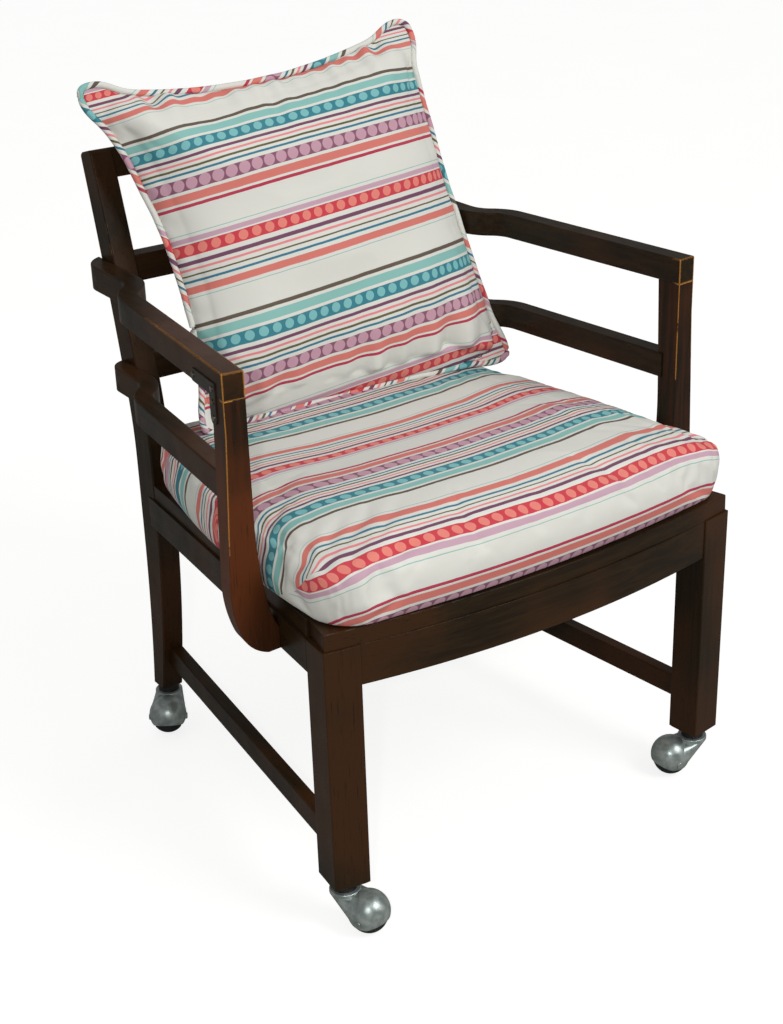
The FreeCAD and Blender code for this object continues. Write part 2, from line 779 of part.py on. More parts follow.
def caster_ball():
    """The rubber wheel: a ball with flat sides, bored for the pin."""
    hub = FreeCAD.Vector(caster_trail, 0, ball_radius)
    ball = Part.makeSphere(ball_radius, hub)
    slab = Part.makeBox(4.0 * ball_radius, ball_width, 4.0 * ball_radius,
                        hub - FreeCAD.Vector(2.0 * ball_radius, ball_width / 2.0, 2.0 * ball_radius))
    ball = ball.common(slab)
    return ball.cut(rod(hub - back * ball_radius, back, axle_diameter + 2.0 * axle_fit, 2.0 * ball_radius))


def rounded_loop(sides):
    """A closed wire of arcs, each given as (start, middle, end), joined by round corners."""
    edges = []
    for index, (start, middle, end) in enumerate(sides):
        edges.append(arc(start, middle, end))
        following = sides[(index + 1) % len(sides)]
        out = end - middle
        back_in = following[0] - following[1]
        out.normalize()
        back_in.normalize()
        chord = following[0] - end
        reach = chord.Length / math.sqrt(max(2.0 * (1.0 + out.dot(chord) / chord.Length), 1.0))
        corner = (end + out * reach + following[0] + back_in * reach) * 0.5
        edges.append(arc(end, corner * corner_share + (end + following[0]) * 0.5 * (1.0 - corner_share),
                         following[0]))
    return Part.Wire(edges)


def cushion_outline(height, inset):
    """Plan of the seat cushion at a height over the rim, drawn in by inset."""
    corner = cushion_corner
    front_y = cushion_front_bow - cushion_front_overhang + inset - rim_bow + rim_setback
    front_mid = front_y - cushion_front_bow
    side_front_y = front_y + corner
    side_mid_y = seat_depth * 0.4
    rear_y = seat_depth - cushion_rear_gap - inset
    side_rear_y = rear_y - corner

    def side_x(y, out):
        return half_front - y * math.tan(side_turn) + out - inset
    front_x = side_x(front_y, cushion_side_front) - corner
    rear_x = side_x(rear_y, cushion_side_rear) - corner
    level = seat_height + rim_height + height

    def at(x, y):
        return FreeCAD.Vector(x, y, level)
    side_points = (at(side_x(side_front_y, cushion_side_front), side_front_y),
                   at(side_x(side_mid_y, cushion_side_swell), side_mid_y),
                   at(side_x(side_rear_y, cushion_side_rear), side_rear_y))
    left_points = tuple(FreeCAD.Vector(-point.x, point.y, point.z) for point in reversed(side_points))
    bend = cushion_front_bow * (1.0 - (front_x / (front_x + corner)) ** 2)
    front = (at(-front_x, front_y - bend), at(0, front_mid), at(front_x, front_y - bend))
    rear = (at(rear_x, rear_y), at(0, rear_y + cushion_rear_gap / 4.0), at(-rear_x, rear_y))
    return rounded_loop([front, side_points, rear, left_points])


def seat_cushion():
    """A boxed cushion with bulging sides, drawn in at both seams, under a crown that falls to its sides."""
    wires = []
    for height_share, draw_share in cushion_section_shares:
        wires.append(cushion_outline(cushion_gap + cushion_height * height_share, cushion_draw * draw_share))
    body = Part.makeLoft(wires, True, False)
    body.rotate(FreeCAD.Vector(0, seat_depth / 2.0, 0), up, cushion_turn_degrees)
    body = tilted(body)
    radius = (half_front * half_front + cushion_crown * cushion_crown) / (2.0 * cushion_crown)
    top = seat_height + rim_height + cushion_height
    along = back * math.cos(seat_slope / 2.0) - up * math.sin(seat_slope / 2.0)
    start = FreeCAD.Vector(0, -seat_depth, top - radius + seat_depth * math.tan(seat_slope / 2.0))
    cushion = body.common(Part.makeCylinder(radius, 3.0 * seat_depth, start, along))
    seam = seat_height + rim_height + cushion_height / 2.0
    return cushion.makeFillet(cushion_round, [edge for edge in cushion.Edges if edge.BoundBox.ZMin > seam])


def pillow_outline(depth, size_share):
    """Outline of the pillow in its own plane, at a depth from its seam."""
    centre_v = pillow_height / 2.0
    corners = []
    for across_share, up_share in pillow_corner_shares:
        u = across_share * pillow_width * size_share
        v = centre_v + (up_share * pillow_height - centre_v) * size_share
        corners.append(FreeCAD.Vector(u, depth, v))
    middle = (corners[0] + corners[1] + corners[2] + corners[3]) * 0.25
    draw = pillow_draw * size_share * size_share
    edges = []
    for index in range(4):
        start = corners[index]
        end = corners[(index + 1) % 4]
        half_way = (start + end) * 0.5
        inward = middle - half_way
        inward.normalize()
        edges.append(arc(start, half_way + inward * (draw * pillow_draw_shares[index]), end))
    return Part.Wire(edges)


def back_pillow():
    halves = []
    for depth in (-pillow_front_depth, pillow_back_depth):
        wires = [pillow_outline(depth * deep, size) for deep, size in pillow_section_shares]
        halves.append(Part.makeLoft(wires, True, False))
    pillow = halves[0].fuse(halves[1])
    pillow.rotate(zero, across, -math.degrees(pillow_lean))
    pillow.rotate(zero, up, pillow_turn_degrees)
    cushion_top = seat_height + rim_height + cushion_height - pillow_foot_back * math.tan(seat_slope / 2.0)
    pillow.translate(FreeCAD.Vector(0, pillow_foot_back, cushion_top - pillow_foot_drop))
    return pillow


def both(shapes):
    """The shapes of the left side, and their mirror images."""
    return list(shapes) + [mirrored(shape) for shape in shapes]


def place_caster(shape, corner, centre):
    placed = shape.copy()
    placed.rotate(zero, up, trail_degrees[corner])
    placed.translate(centre)
    return placed


def build():
    nodes = {}
    left_leg = front_leg()
    left_post = rear_post()
    left_side_apron = side_apron(left_leg, left_post)
    left_stump = arm_stump()
    front = front_apron(left_leg)
    rear = rear_apron()
    front_centre = leg_centre()
    rear_centre = FreeCAD.Vector(-post_outer + post_width / 2.0, seat_depth + post_foot_set + post_foot_depth / 2.0, 0)
    sleeve_front = rod(front_centre + up * (foot_height - overrun), up, sleeve_diameter, sleeve_rise + overrun)
    sleeve_rear = rod(rear_centre + up * (foot_height - overrun), up, sleeve_diameter, sleeve_rise + overrun)
    dowels = frame_dowels() + rail_dowels()
    screws = stump_screws()
    plugs = stump_plugs()
    tops = brace_screws()
    posts = arm_screws()
    left = {
        "front_leg": left_leg.cut(dowels + [sleeve_front]),
        "rear_post": left_post.cut(dowels + posts + [sleeve_rear]),
        "side_apron": left_side_apron.cut(dowels + screws),
        "side_stretcher": side_stretcher(left_post).cut(dowels),
        "rim": rim_side(left_post),
        "arm_stump": left_stump.cut(screws + plugs + tops),
        "arm": arm().cut(tops + posts),
        "lower_arm_rail": lower_rail(left_stump).cut(posts),
        "arm_brace": brace().cut(tops),
    }
    for name, shape in left.items():
        nodes[name + "_left"] = shape
        nodes[name + "_right"] = mirrored(shape)
    all_dowels = both(dowels)
    nodes["front_apron"] = front.cut(all_dowels)
    nodes["rear_apron"] = rear.cut(all_dowels)
    nodes["rim_front"] = rim_front()
    nodes["rim_rear"] = rim_rear()
    nodes["seat_board"] = seat_board()
    for edge_name, strip in zip(("front", "right", "rear", "left"), seat_cleats()):
        nodes["seat_cleat_" + edge_name] = strip
    nodes["corner_blocks"] = Part.makeCompound(both([
        corner_block_front(left_leg, left_side_apron, front), corner_block_rear(left_post, left_side_apron, rear)]))
    nodes["back_rail_top"] = back_rail_top().cut(all_dowels)
    nodes["back_rail_middle"] = back_rail(middle_rail_bottom, middle_rail_height).cut(all_dowels)
    nodes["back_rail_lower"] = back_rail(lower_back_rail_bottom, lower_back_rail_height).cut(all_dowels)
    nodes["frame_dowels"] = Part.makeCompound(all_dowels)
    nodes["stump_screws"] = Part.makeCompound(both(screws))
    nodes["stump_plugs"] = Part.makeCompound(both(plugs))
    nodes["brace_screws"] = Part.makeCompound(both(tops))
    nodes["arm_screws"] = Part.makeCompound(both(posts))
    nodes["seat_cushion"] = seat_cushion()
    nodes["back_pillow"] = back_pillow()
    pieces = {"caster_socket": caster_socket(), "caster_stem": caster_stem(), "caster_hood": caster_hood(),
              "caster_axle": caster_axle(), "caster_ball": caster_ball()}
    centres = {"front_left": front_centre, "rear_left": rear_centre}
    centres["front_right"] = FreeCAD.Vector(-front_centre.x, front_centre.y, 0)
    centres["rear_right"] = FreeCAD.Vector(-rear_centre.x, rear_centre.y, 0)
    for corner, centre in centres.items():
        for name, shape in pieces.items():
            nodes[name + "_" + corner] = place_caster(shape, corner, centre)
    return nodes, centres


def write(nodes, centres):
    """Stand the middle of the footprint at the origin, write each piece and print the swivel places."""
    box = FreeCAD.BoundBox()
    for shape in nodes.values():
        box.add(shape.optimalBoundingBox(False))
    shift = FreeCAD.Vector(-box.Center.x, -box.Center.y, -box.ZMin)
    for name, shape in nodes.items():
        shape.translate(shift)
        shape.exportStep("parts/" + name + ".step")
    print("shift", shift, "size", box.XLength, box.YLength, box.ZLength)
    for corner, centre in centres.items():
        turn = math.radians(trail_degrees[corner])
        hub = centre + shift + FreeCAD.Vector(math.cos(turn), math.sin(turn), 0) * caster_trail
        print(corner, "swivel", centre + shift, "ball", hub + up * ball_radius)


nodes, centres = build()
write(nodes, centres)
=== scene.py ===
import math

import bmesh
import bpy
import numpy as np
from mathutils import Matrix, Vector, noise
from mathutils.bvhtree import BVHTree


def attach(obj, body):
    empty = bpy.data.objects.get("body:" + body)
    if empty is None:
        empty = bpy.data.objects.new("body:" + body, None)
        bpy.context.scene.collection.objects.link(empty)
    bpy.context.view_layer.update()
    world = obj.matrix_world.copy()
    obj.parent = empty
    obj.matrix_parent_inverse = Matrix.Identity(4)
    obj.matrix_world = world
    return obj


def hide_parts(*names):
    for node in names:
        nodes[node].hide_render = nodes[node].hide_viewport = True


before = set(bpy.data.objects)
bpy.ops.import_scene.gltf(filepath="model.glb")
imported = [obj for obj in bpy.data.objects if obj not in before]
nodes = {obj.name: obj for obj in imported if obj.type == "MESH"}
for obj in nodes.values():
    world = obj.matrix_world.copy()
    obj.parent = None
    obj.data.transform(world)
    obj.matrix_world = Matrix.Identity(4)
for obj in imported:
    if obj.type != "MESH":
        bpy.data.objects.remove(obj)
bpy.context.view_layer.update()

scene = bpy.context.scene
scene.view_settings.view_transform = "Standard"


# ---- Floor, light and camera ---------------------------------------------------------------
# The chair stands on a plain pale floor under soft daylight from above and in front. The camera
# stands a little above the seat, in front of the chair's left arm, and looks down at it.
camera_place = (-1.110258, -1.657057, 1.272651)
camera_yaw = 0.5865
camera_pitch = -0.4343
camera_roll = -0.0325
camera_lens = 60.46
sensor_width = 36
floor_reach = 30.0
floor_pale, floor_dark = (0.30, 0.30, 0.29, 1), (0.27, 0.27, 0.26, 1)
floor_glow = 0.80         # seen by the camera only, so it adds no light to the chair
sky_level = 0.60          # the camera itself sees a white sky
glossy_sky_level = 0.18   # what the lacquer mirrors
lamps = {   # name: place, what it points at, size, watts
    "key_lamp": ((1.2, -2.9, 3.0), (0, 0, 0.45), 1.6, 75),
    "flash_lamp": ((-1.205, -1.605, 1.285), (0, 0, 0.45), 0.05, 9.8),
}


def put(tree, kind, sockets=(), **settings):
    """One shader node with its settings, and a value or a link for each socket named."""
    node = tree.nodes.new("ShaderNode" + kind)
    for name, value in settings.items():
        setattr(node, name, value)
    for key, value in dict(sockets).items():
        if isinstance(value, bpy.types.NodeSocket):
            tree.links.new(value, node.inputs[key])
        else:
            node.inputs[key].default_value = value
    return node


def noise_map(tree, place, scale, **sockets):
    """Noise from 0 to 1 at a place. Further sockets are named in small letters."""
    sockets = {name.title(): value for name, value in sockets.items()}
    return put(tree, "TexNoise", {"Vector": place, "Scale": scale, **sockets}).outputs[0]


def reckon(tree, operation, *values, clamp=False):
    """One sum on numbers, as a Math node."""
    return put(tree, "Math", enumerate(values), operation=operation, use_clamp=clamp).outputs[0]


def blend_colours(tree, share, first, second):
    """The first colour at share 0 and the second at 1."""
    return put(tree, "Mix", {0: share, 6: first, 7: second}, data_type="RGBA").outputs[2]


def new_material(name):
    material = bpy.data.materials.new(name)
    material.use_nodes = True
    return material, material.node_tree, material.node_tree.nodes["Principled BSDF"]


world = bpy.data.worlds.new("soft_daylight")
scene.world = world
world.use_nodes = True
sky = world.node_tree
seen = put(sky, "LightPath").outputs
shown = reckon(sky, "MAXIMUM", seen["Is Camera Ray"], seen["Is Transmission Ray"])
strength = reckon(sky, "ADD", reckon(sky, "MULTIPLY", shown, 1 - sky_level), sky_level)
mirrored = reckon(sky, "MULTIPLY", seen["Is Glossy Ray"], sky_level - glossy_sky_level)
strength = reckon(sky, "SUBTRACT", strength, mirrored)
sky.nodes["Background"].inputs[0].default_value = (1, 1, 1, 1)
sky.links.new(strength, sky.nodes["Background"].inputs[1])

for name, (place, target, size, watts) in lamps.items():
    lamp = bpy.data.lights.new(name, "AREA")
    lamp.size, lamp.energy = size, watts
    holder = bpy.data.objects.new(name, lamp)
    holder.location = place
    holder.rotation_euler = (Vector(target) - Vector(place)).to_track_quat("-Z", "Y").to_euler()
    scene.collection.objects.link(holder)

floor_shape = bmesh.new()
bmesh.ops.create_circle(floor_shape, cap_ends=True, segments=64, radius=floor_reach)
floor_mesh = bpy.data.meshes.new("floor")
floor_shape.to_mesh(floor_mesh)
floor_shape.free()
floor = bpy.data.objects.new("floor", floor_mesh)
scene.collection.objects.link(floor)
floor_paint, tree, shader = new_material("pale_floor")
speck = noise_map(tree, put(tree, "TexCoord").outputs["Object"], 4.0)
tree.links.new(blend_colours(tree, speck, floor_pale, floor_dark), shader.inputs["Base Color"])
shader.inputs["Roughness"].default_value = 0.9
shader.inputs["Specular IOR Level"].default_value = 0.1
shader.inputs["Emission Color"].default_value = (1, 1, 1, 1)
floor_seen = put(tree, "LightPath").outputs["Is Camera Ray"]
tree.links.new(reckon(tree, "MULTIPLY", floor_seen, floor_glow), shader.inputs["Emission Strength"])
floor.data.materials.append(floor_paint)

turn, tip, bank = camera_yaw, camera_pitch, camera_roll
ahead = Vector((math.sin(turn) * math.cos(tip), math.cos(turn) * math.cos(tip), math.sin(tip)))
level = Vector((math.cos(turn), -math.sin(turn), 0))
above = level.cross(ahead)
right_hand = level * math.cos(bank) + above * math.sin(bank)
upward = above * math.cos(bank) - level * math.sin(bank)
camera = bpy.data.cameras.new("camera")
camera.lens, camera.sensor_width = camera_lens, sensor_width
camera_holder = bpy.data.objects.new("camera", camera)
camera_holder.matrix_world = Matrix.Translation(camera_place) @ Matrix(
    (right_hand, upward, -ahead)).transposed().to_4x4()
scene.collection.objects.link(camera_holder)
scene.camera = camera_holder


# ---- Lacquered frame -------------------------------------------------------------------------
# Legs, posts, aprons, rims, arms and rails are solid hardwood, jointed and glued, stained a dark
# reddish brown and lacquered. Hands and knocks have rubbed the lacquer through along the arms'
# and stumps' edges, down to golden wood, and chipped it pale elsewhere.


def srgb(red, green, blue):
    """A colour given as 0 to 255, as the linear numbers that a shader takes."""
    parts = []
    for part in (red, green, blue):
        part /= 255
        parts.append(part / 12.92 if part <= 0.04045 else ((part + 0.055) / 1.055) ** 2.4)
    return (*parts, 1)


stain_dark = srgb(30, 22, 11)
stain_mid = srgb(44, 31, 15)
stain_red = srgb(58, 35, 17)
bare_gold = srgb(196, 134, 58)
bare_pale = srgb(158, 128, 100)
pore_colour = (0.006, 0.004, 0.003, 1)
edge_radius = 0.0016
grain_stretch = 0.045
streaks_per_metre = 150
fibres_per_metre = 620
chips_per_metre = 55
lacquer_specular = 0.16
lacquer_rough, rough_spread, worn_rough = 0.17, 0.30, 0.35


def ease(tree, value, low, high):
    """0 below low and 1 above high, with a soft step between them."""
    node = put(tree, "MapRange", {0: value, 1: low, 2: high}, interpolation_type="SMOOTHSTEP")
    return node.outputs[0]


def bump(tree, height, strength, distance, normal=None):
    """The normal of a surface with this relief, whose distance is in metres."""
    relief = {"Strength": strength, "Distance": distance, "Height": height}
    if normal is not None:
        relief["Normal"] = normal
    return put(tree, "Bump", relief).outputs[0]


def new_group(name, inputs, outputs):
    group = bpy.data.node_groups.new(name, "ShaderNodeTree")
    for label, kind in inputs:
        group.interface.new_socket(label, in_out="INPUT", socket_type="NodeSocket" + kind)
    for label, kind in outputs:
        group.interface.new_socket(label, in_out="OUTPUT", socket_type="NodeSocket" + kind)
    return group, group.nodes.new("NodeGroupInput").outputs, group.nodes.new("NodeGroupOutput").inputs


def place_group(tree, group, sockets):
    return put(tree, "Group", sockets, node_tree=group).outputs


# Grain: broad streaks, fine fibres and open pores along the board, and slow changes of tone.
grain, given, results = new_group(
    "timber_grain",
    [("Along", "Vector"), ("Place", "Vector"), ("Dark", "Color"), ("Mid", "Color"), ("Red", "Color")],
    [("Color", "Color"), ("Height", "Float"), ("Gloss", "Float")])
streak = noise_map(grain, given["Along"], streaks_per_metre, detail=4.0, roughness=0.62, distortion=0.35)
fibre = noise_map(grain, given["Along"], fibres_per_metre, detail=2.0)
tone = noise_map(grain, given["Place"], 5.5, detail=2.0)
pores = ease(grain, fibre, 0.60, 0.72)
stained = blend_colours(grain, ease(grain, streak, 0.34, 0.68), given["Dark"], given["Mid"])
stained = blend_colours(grain, ease(grain, tone, 0.42, 0.66), stained, given["Red"])
stained = blend_colours(grain, reckon(grain, "MULTIPLY", pores, 0.55), stained, pore_colour)
grain.links.new(stained, results["Color"])
sunk = reckon(grain, "MULTIPLY", pores, -0.6)
grain.links.new(reckon(grain, "ADD", reckon(grain, "MULTIPLY", streak, 0.4), sunk), results["Height"])
grain.links.new(noise_map(grain, given["Place"], 28.0, detail=4.0), results["Gloss"])

# Edge wear: how far the rounded edge's normal leans from the flat one, broken up by chips.
edge_wear, given, results = new_group(
    "edge_wear", [("Place", "Vector"), ("Radius", "Float"), ("Amount", "Float"), ("Chips", "Float")],
    [("Mask", "Float"), ("Normal", "Vector")])
rounded = put(edge_wear, "Bevel", {"Radius": given["Radius"]}, samples=6).outputs[0]
flat = put(edge_wear, "NewGeometry").outputs["True Normal"]
alike = put(edge_wear, "VectorMath", {0: rounded, 1: flat}, operation="DOT_PRODUCT").outputs["Value"]
lean = reckon(edge_wear, "SUBTRACT", 1.0, alike)
near_edge = ease(edge_wear, lean, 0.008, 0.055)
chips = noise_map(edge_wear, given["Place"], given["Chips"], detail=5.0, roughness=0.65)
reach = reckon(edge_wear, "ADD", reckon(edge_wear, "MULTIPLY", near_edge, 0.55),
               reckon(edge_wear, "MULTIPLY", chips, 0.9))
limit = reckon(edge_wear, "SUBTRACT", 1.32, reckon(edge_wear, "MULTIPLY", given["Amount"], 0.72))
over = reckon(edge_wear, "MULTIPLY", reckon(edge_wear, "SUBTRACT", reach, limit), 9.0, clamp=True)
edge_wear.links.new(reckon(edge_wear, "MULTIPLY", over, near_edge), results["Mask"])
edge_wear.links.new(rounded, results["Normal"])

# Rubbed place: 1 at its centre, falling to 0 at its reach, which differs by direction.
rubbed_place, given, results = new_group(
    "rubbed_place", [("Place", "Vector"), ("Centre", "Vector"), ("Reach", "Vector")], [("Mask", "Float")])
offset = put(rubbed_place, "VectorMath", {0: given["Place"], 1: given["Centre"]},
             operation="SUBTRACT").outputs[0]
offset = put(rubbed_place, "VectorMath", {0: offset, 1: given["Reach"]}, operation="DIVIDE").outputs[0]
away = put(rubbed_place, "VectorMath", {0: offset}, operation="LENGTH").outputs["Value"]
fallen = ease(rubbed_place, away, 0.6, 1.0)
rubbed_place.links.new(reckon(rubbed_place, "SUBTRACT", 1.0, fallen), results["Mask"])


def lacquered(name, grain_axis, wear, rubs=(), mid=stain_mid, red=stain_red, rub_width=edge_radius):
    """Stained and lacquered hardwood. grain_axis is 0, 1 or 2; a rub is (centre, reach, strength)."""
    material, tree, shader = new_material(name)
    place = put(tree, "TexCoord").outputs["Object"]
    stretch = [1.0, 1.0, 1.0]
    stretch[grain_axis] = grain_stretch
    along = put(tree, "Mapping", {"Vector": place, "Scale": stretch}).outputs[0]
    wood = place_group(tree, grain, {
        "Along": along, "Place": place, "Dark": stain_dark, "Mid": mid, "Red": red})
    amount, gold = None, None
    for centre, reach, strength in rubs:
        here = place_group(tree, rubbed_place, {"Place": place, "Centre": centre, "Reach": reach})["Mask"]
        part = reckon(tree, "MULTIPLY", here, strength)
        amount = part if amount is None else reckon(tree, "MAXIMUM", amount, part)
        gold = here if gold is None else reckon(tree, "MAXIMUM", gold, here)
    worn = place_group(tree, edge_wear, {
        "Place": place, "Radius": rub_width, "Chips": chips_per_metre,
        "Amount": wear if amount is None else reckon(tree, "ADD", amount, wear)})
    bare = bare_pale if gold is None else blend_colours(tree, gold, bare_pale, bare_gold)
    tree.links.new(blend_colours(tree, worn["Mask"], wood["Color"], bare), shader.inputs["Base Color"])
    rough = reckon(tree, "ADD", reckon(tree, "MULTIPLY", wood["Gloss"], rough_spread), lacquer_rough)
    rough = reckon(tree, "ADD", rough, reckon(tree, "MULTIPLY", worn["Mask"], worn_rough))
    tree.links.new(rough, shader.inputs["Roughness"])
    relief = bump(tree, wood["Height"], 0.22, 0.0006, worn["Normal"])
    tree.links.new(relief, shader.inputs["Normal"])
    shader.inputs["Specular IOR Level"].default_value = lacquer_specular
    return material


def dress(material, *names):
    for name in names:
        slots = nodes[name].data.materials
        for index in range(max(1, len(slots))):
            if index < len(slots):
                slots[index] = material
            else:
                slots.append(material)


upright = lacquered("lacquer_upright", 2, 0.24)
dress(upright, "front_leg_left", "front_leg_right", "frame_dowels")
posts = lacquered("lacquer_posts", 2, 0.30, [((-0.262, 0.262, 0.70), (0.03, 0.05, 0.13), 0.25)])
dress(posts, "rear_post_left", "rear_post_right")
crosswise = lacquered("lacquer_crosswise", 0, 0.22)
dress(crosswise, "front_apron", "rear_apron", "rim_front", "rim_rear", "back_rail_top",
      "back_rail_middle", "back_rail_lower")
lengthwise = lacquered("lacquer_lengthwise", 1, 0.22)
dress(lengthwise, "side_apron_left", "side_apron_right", "side_stretcher_left", "side_stretcher_right",
      "rim_left", "rim_right")


# ---- Arms and stumps -------------------------------------------------------------------------
# Each arm jogs inwards in front of the post and is screwed to it. It sits on a stump that sweeps
# out at the foot. The left arm's outer top edge and front corner are rubbed down to gold.
arm_lacquer = lacquered("lacquer_arms", 1, 0.26, [
    ((-0.324, -0.080, 0.662), (0.030, 0.200, 0.014), 0.92),
    ((-0.318, -0.177, 0.650), (0.034, 0.022, 0.034), 0.72),
    ((0.318, -0.177, 0.650), (0.034, 0.022, 0.034), 0.55)], rub_width=0.0028)
dress(arm_lacquer, "arm_left", "arm_right", "lower_arm_rail_left", "lower_arm_rail_right")
# The stumps' stain is lighter and redder than the rest of the frame: painted light, the warm lit tone of
# their front faces laid on every face. Their rubbed edges are real wear.
stump_lacquer_painted_lit = lacquered("lacquer_stumps_painted_lit", 2, 0.26, [
    ((-0.330, -0.178, 0.56), (0.016, 0.018, 0.15), 0.62),
    ((0.318, -0.178, 0.58), (0.030, 0.018, 0.12), 0.40)],
    mid=srgb(56, 30, 15), red=srgb(84, 42, 18), rub_width=0.0024)
dress(stump_lacquer_painted_lit, "arm_stump_left", "arm_stump_right", "stump_plugs")


# ---- Deck and hidden woodwork ----------------------------------------------------------------
# Bare softwood strips and corner blocks carry a plywood board under the cushion. The dowels of
# the glued joints are lacquered with the legs, since a few of their ends show.
def bare_wood(name, dark, mid, red):
    """Unfinished wood, with its grain from side to side."""
    material, tree, shader = new_material(name)
    place = put(tree, "TexCoord").outputs["Object"]
    along = put(tree, "Mapping", {"Vector": place, "Scale": (grain_stretch, 1, 1)}).outputs[0]
    wood = place_group(tree, grain, {"Along": along, "Place": place, "Dark": dark, "Mid": mid, "Red": red})
    tree.links.new(wood["Color"], shader.inputs["Base Color"])
    tree.links.new(reckon(tree, "ADD", reckon(tree, "MULTIPLY", wood["Gloss"], 0.2), 0.55),
                   shader.inputs["Roughness"])
    tree.links.new(bump(tree, wood["Height"], 0.3, 0.0008), shader.inputs["Normal"])
    return material


plywood = bare_wood("plywood", srgb(150, 112, 72), srgb(186, 148, 104), srgb(172, 128, 86))
dress(plywood, "seat_board")
softwood = bare_wood("softwood", srgb(156, 118, 76), srgb(198, 162, 116), srgb(184, 140, 96))
dress(softwood, "seat_cleat_front", "seat_cleat_rear", "seat_cleat_left", "seat_cleat_right",
      "corner_blocks")


# ---- Braces and screws -----------------------------------------------------------------------
# A flat steel corner brace is let into each arm joint from outside and painted over with the
# frame, and so are the long screws into the posts. The braces' round-head screws and the long
# screws into the stumps are dull steel.
metal_edge = 0.0006
metal_chips_per_metre = 180.0


def worked_metal(name, dark, bright, metal, rough_low, rough_high, scratches, wear=None):
    """Metal with blotches, fine scratches and, where wear is given, rubbed edges."""
    material, tree, shader = new_material(name)
    place = put(tree, "TexCoord").outputs["Object"]
    blotch = noise_map(tree, place, 95.0, detail=4.0)
    drawn_out = {"Vector": place, "Rotation": (0.3, 0.5, 0.2), "Scale": (1.0, 0.08, 1.0)}
    scratch = noise_map(tree, put(tree, "Mapping", drawn_out).outputs[0], 900.0, detail=2.0)
    colour = blend_colours(tree, ease(tree, blotch, 0.35, 0.68), dark, bright)
    normal = None
    if wear:
        amount, rubbed_colour = wear
        worn = place_group(tree, edge_wear, {
            "Place": place, "Radius": metal_edge, "Chips": metal_chips_per_metre, "Amount": amount})
        colour = blend_colours(tree, worn["Mask"], colour, rubbed_colour)
        normal = worn["Normal"]
    tree.links.new(colour, shader.inputs["Base Color"])
    rough = put(tree, "MapRange", {0: blotch, 1: 0.3, 2: 0.7, 3: rough_low, 4: rough_high}).outputs[0]
    tree.links.new(rough, shader.inputs["Roughness"])
    tree.links.new(bump(tree, scratch, scratches, 0.0002, normal), shader.inputs["Normal"])
    shader.inputs["Metallic"].default_value = metal
    return material


brace_paint = worked_metal("brace_paint", srgb(34, 27, 20), srgb(46, 37, 27), 0.0, 0.30, 0.46, 0.15,
                           (0.34, srgb(120, 112, 100)))
dress(brace_paint, "arm_brace_left", "arm_brace_right", "arm_screws")
screw_steel = worked_metal("screw_steel", srgb(120, 112, 100), srgb(178, 172, 160), 1.0, 0.28, 0.48, 0.3)
dress(screw_steel, "brace_screws", "stump_screws")


# ---- Ball casters ----------------------------------------------------------------------------
# A rubber ball turns on a riveted pin in a pressed, zinc-plated hood. The hood's collar turns on
# a stem in a black plastic socket, which is driven into the leg.
zinc = worked_metal("caster_zinc", srgb(150, 162, 158), srgb(190, 198, 194), 0.72, 0.30, 0.46, 0.25,
                    (0.2, srgb(210, 212, 208)))
rivet = worked_metal("rivet_zinc", srgb(138, 148, 142), srgb(178, 186, 180), 0.72, 0.28, 0.44, 0.3)
socket_black = worked_metal("socket_black", srgb(14, 14, 13), srgb(26, 26, 24), 0.0, 0.42, 0.58, 0.2)
rubber = worked_metal("ball_rubber", srgb(14, 18, 15), srgb(30, 34, 30), 0.0, 0.45, 0.72, 0.5)
for corner in ("front_left", "front_right", "rear_left", "rear_right"):
    dress(zinc, f"caster_hood_{corner}", f"caster_stem_{corner}")
    dress(rivet, f"caster_axle_{corner}")
    dress(socket_black, f"caster_socket_{corner}")
    dress(rubber, f"caster_ball_{corner}")


# ---- Striped cloth ---------------------------------------------------------------------------
# One printed cotton covers cushion, pillow and piping: thin lines, plain bands and three bands
# of dots on a cream ground, which repeat down the length. The print is laid out in millimetres.
repeat = 248.0
dot_pitch = 17.3
dot_edge = 0.25
threads_per_metre = 480.0
ground, faded_colour = srgb(214, 214, 206), srgb(206, 200, 188)
brown, seafoam, teal = srgb(90, 78, 66), srgb(130, 184, 177), srgb(40, 122, 136)
plum, pink, olive = srgb(110, 60, 90), srgb(222, 130, 134), srgb(90, 84, 50)
blue, mauve, coral = srgb(42, 114, 138), srgb(130, 78, 102), srgb(208, 114, 104)
crimson, sage, lilac, red = srgb(176, 42, 72), srgb(140, 182, 173), srgb(190, 154, 170), srgb(196, 50, 66)
stripes = [   # start, end, colour
    (0, 5, brown), (9, 19.5, seafoam), (23.5, 39, teal), (43.7, 48.2, plum), (52, 54.4, pink),
    (58.8, 61.2, olive), (65.2, 68.4, blue), (73, 89, mauve), (92.2, 101.8, coral), (105, 109, crimson),
    (138.6, 139.8, sage), (143.6, 149.6, lilac), (152, 166, red), (172, 176.8, plum), (181, 183.5, pink),
    (188, 190.5, olive), (195.2, 198.4, blue), (203, 211.6, coral), (215.2, 216.4, sage)]
dots = [   # band's middle, dot's radius, colour
    (31.2, 6.0, srgb(116, 180, 182)), (81, 7.6, srgb(190, 146, 162)), (159, 6.1, srgb(222, 124, 112))]

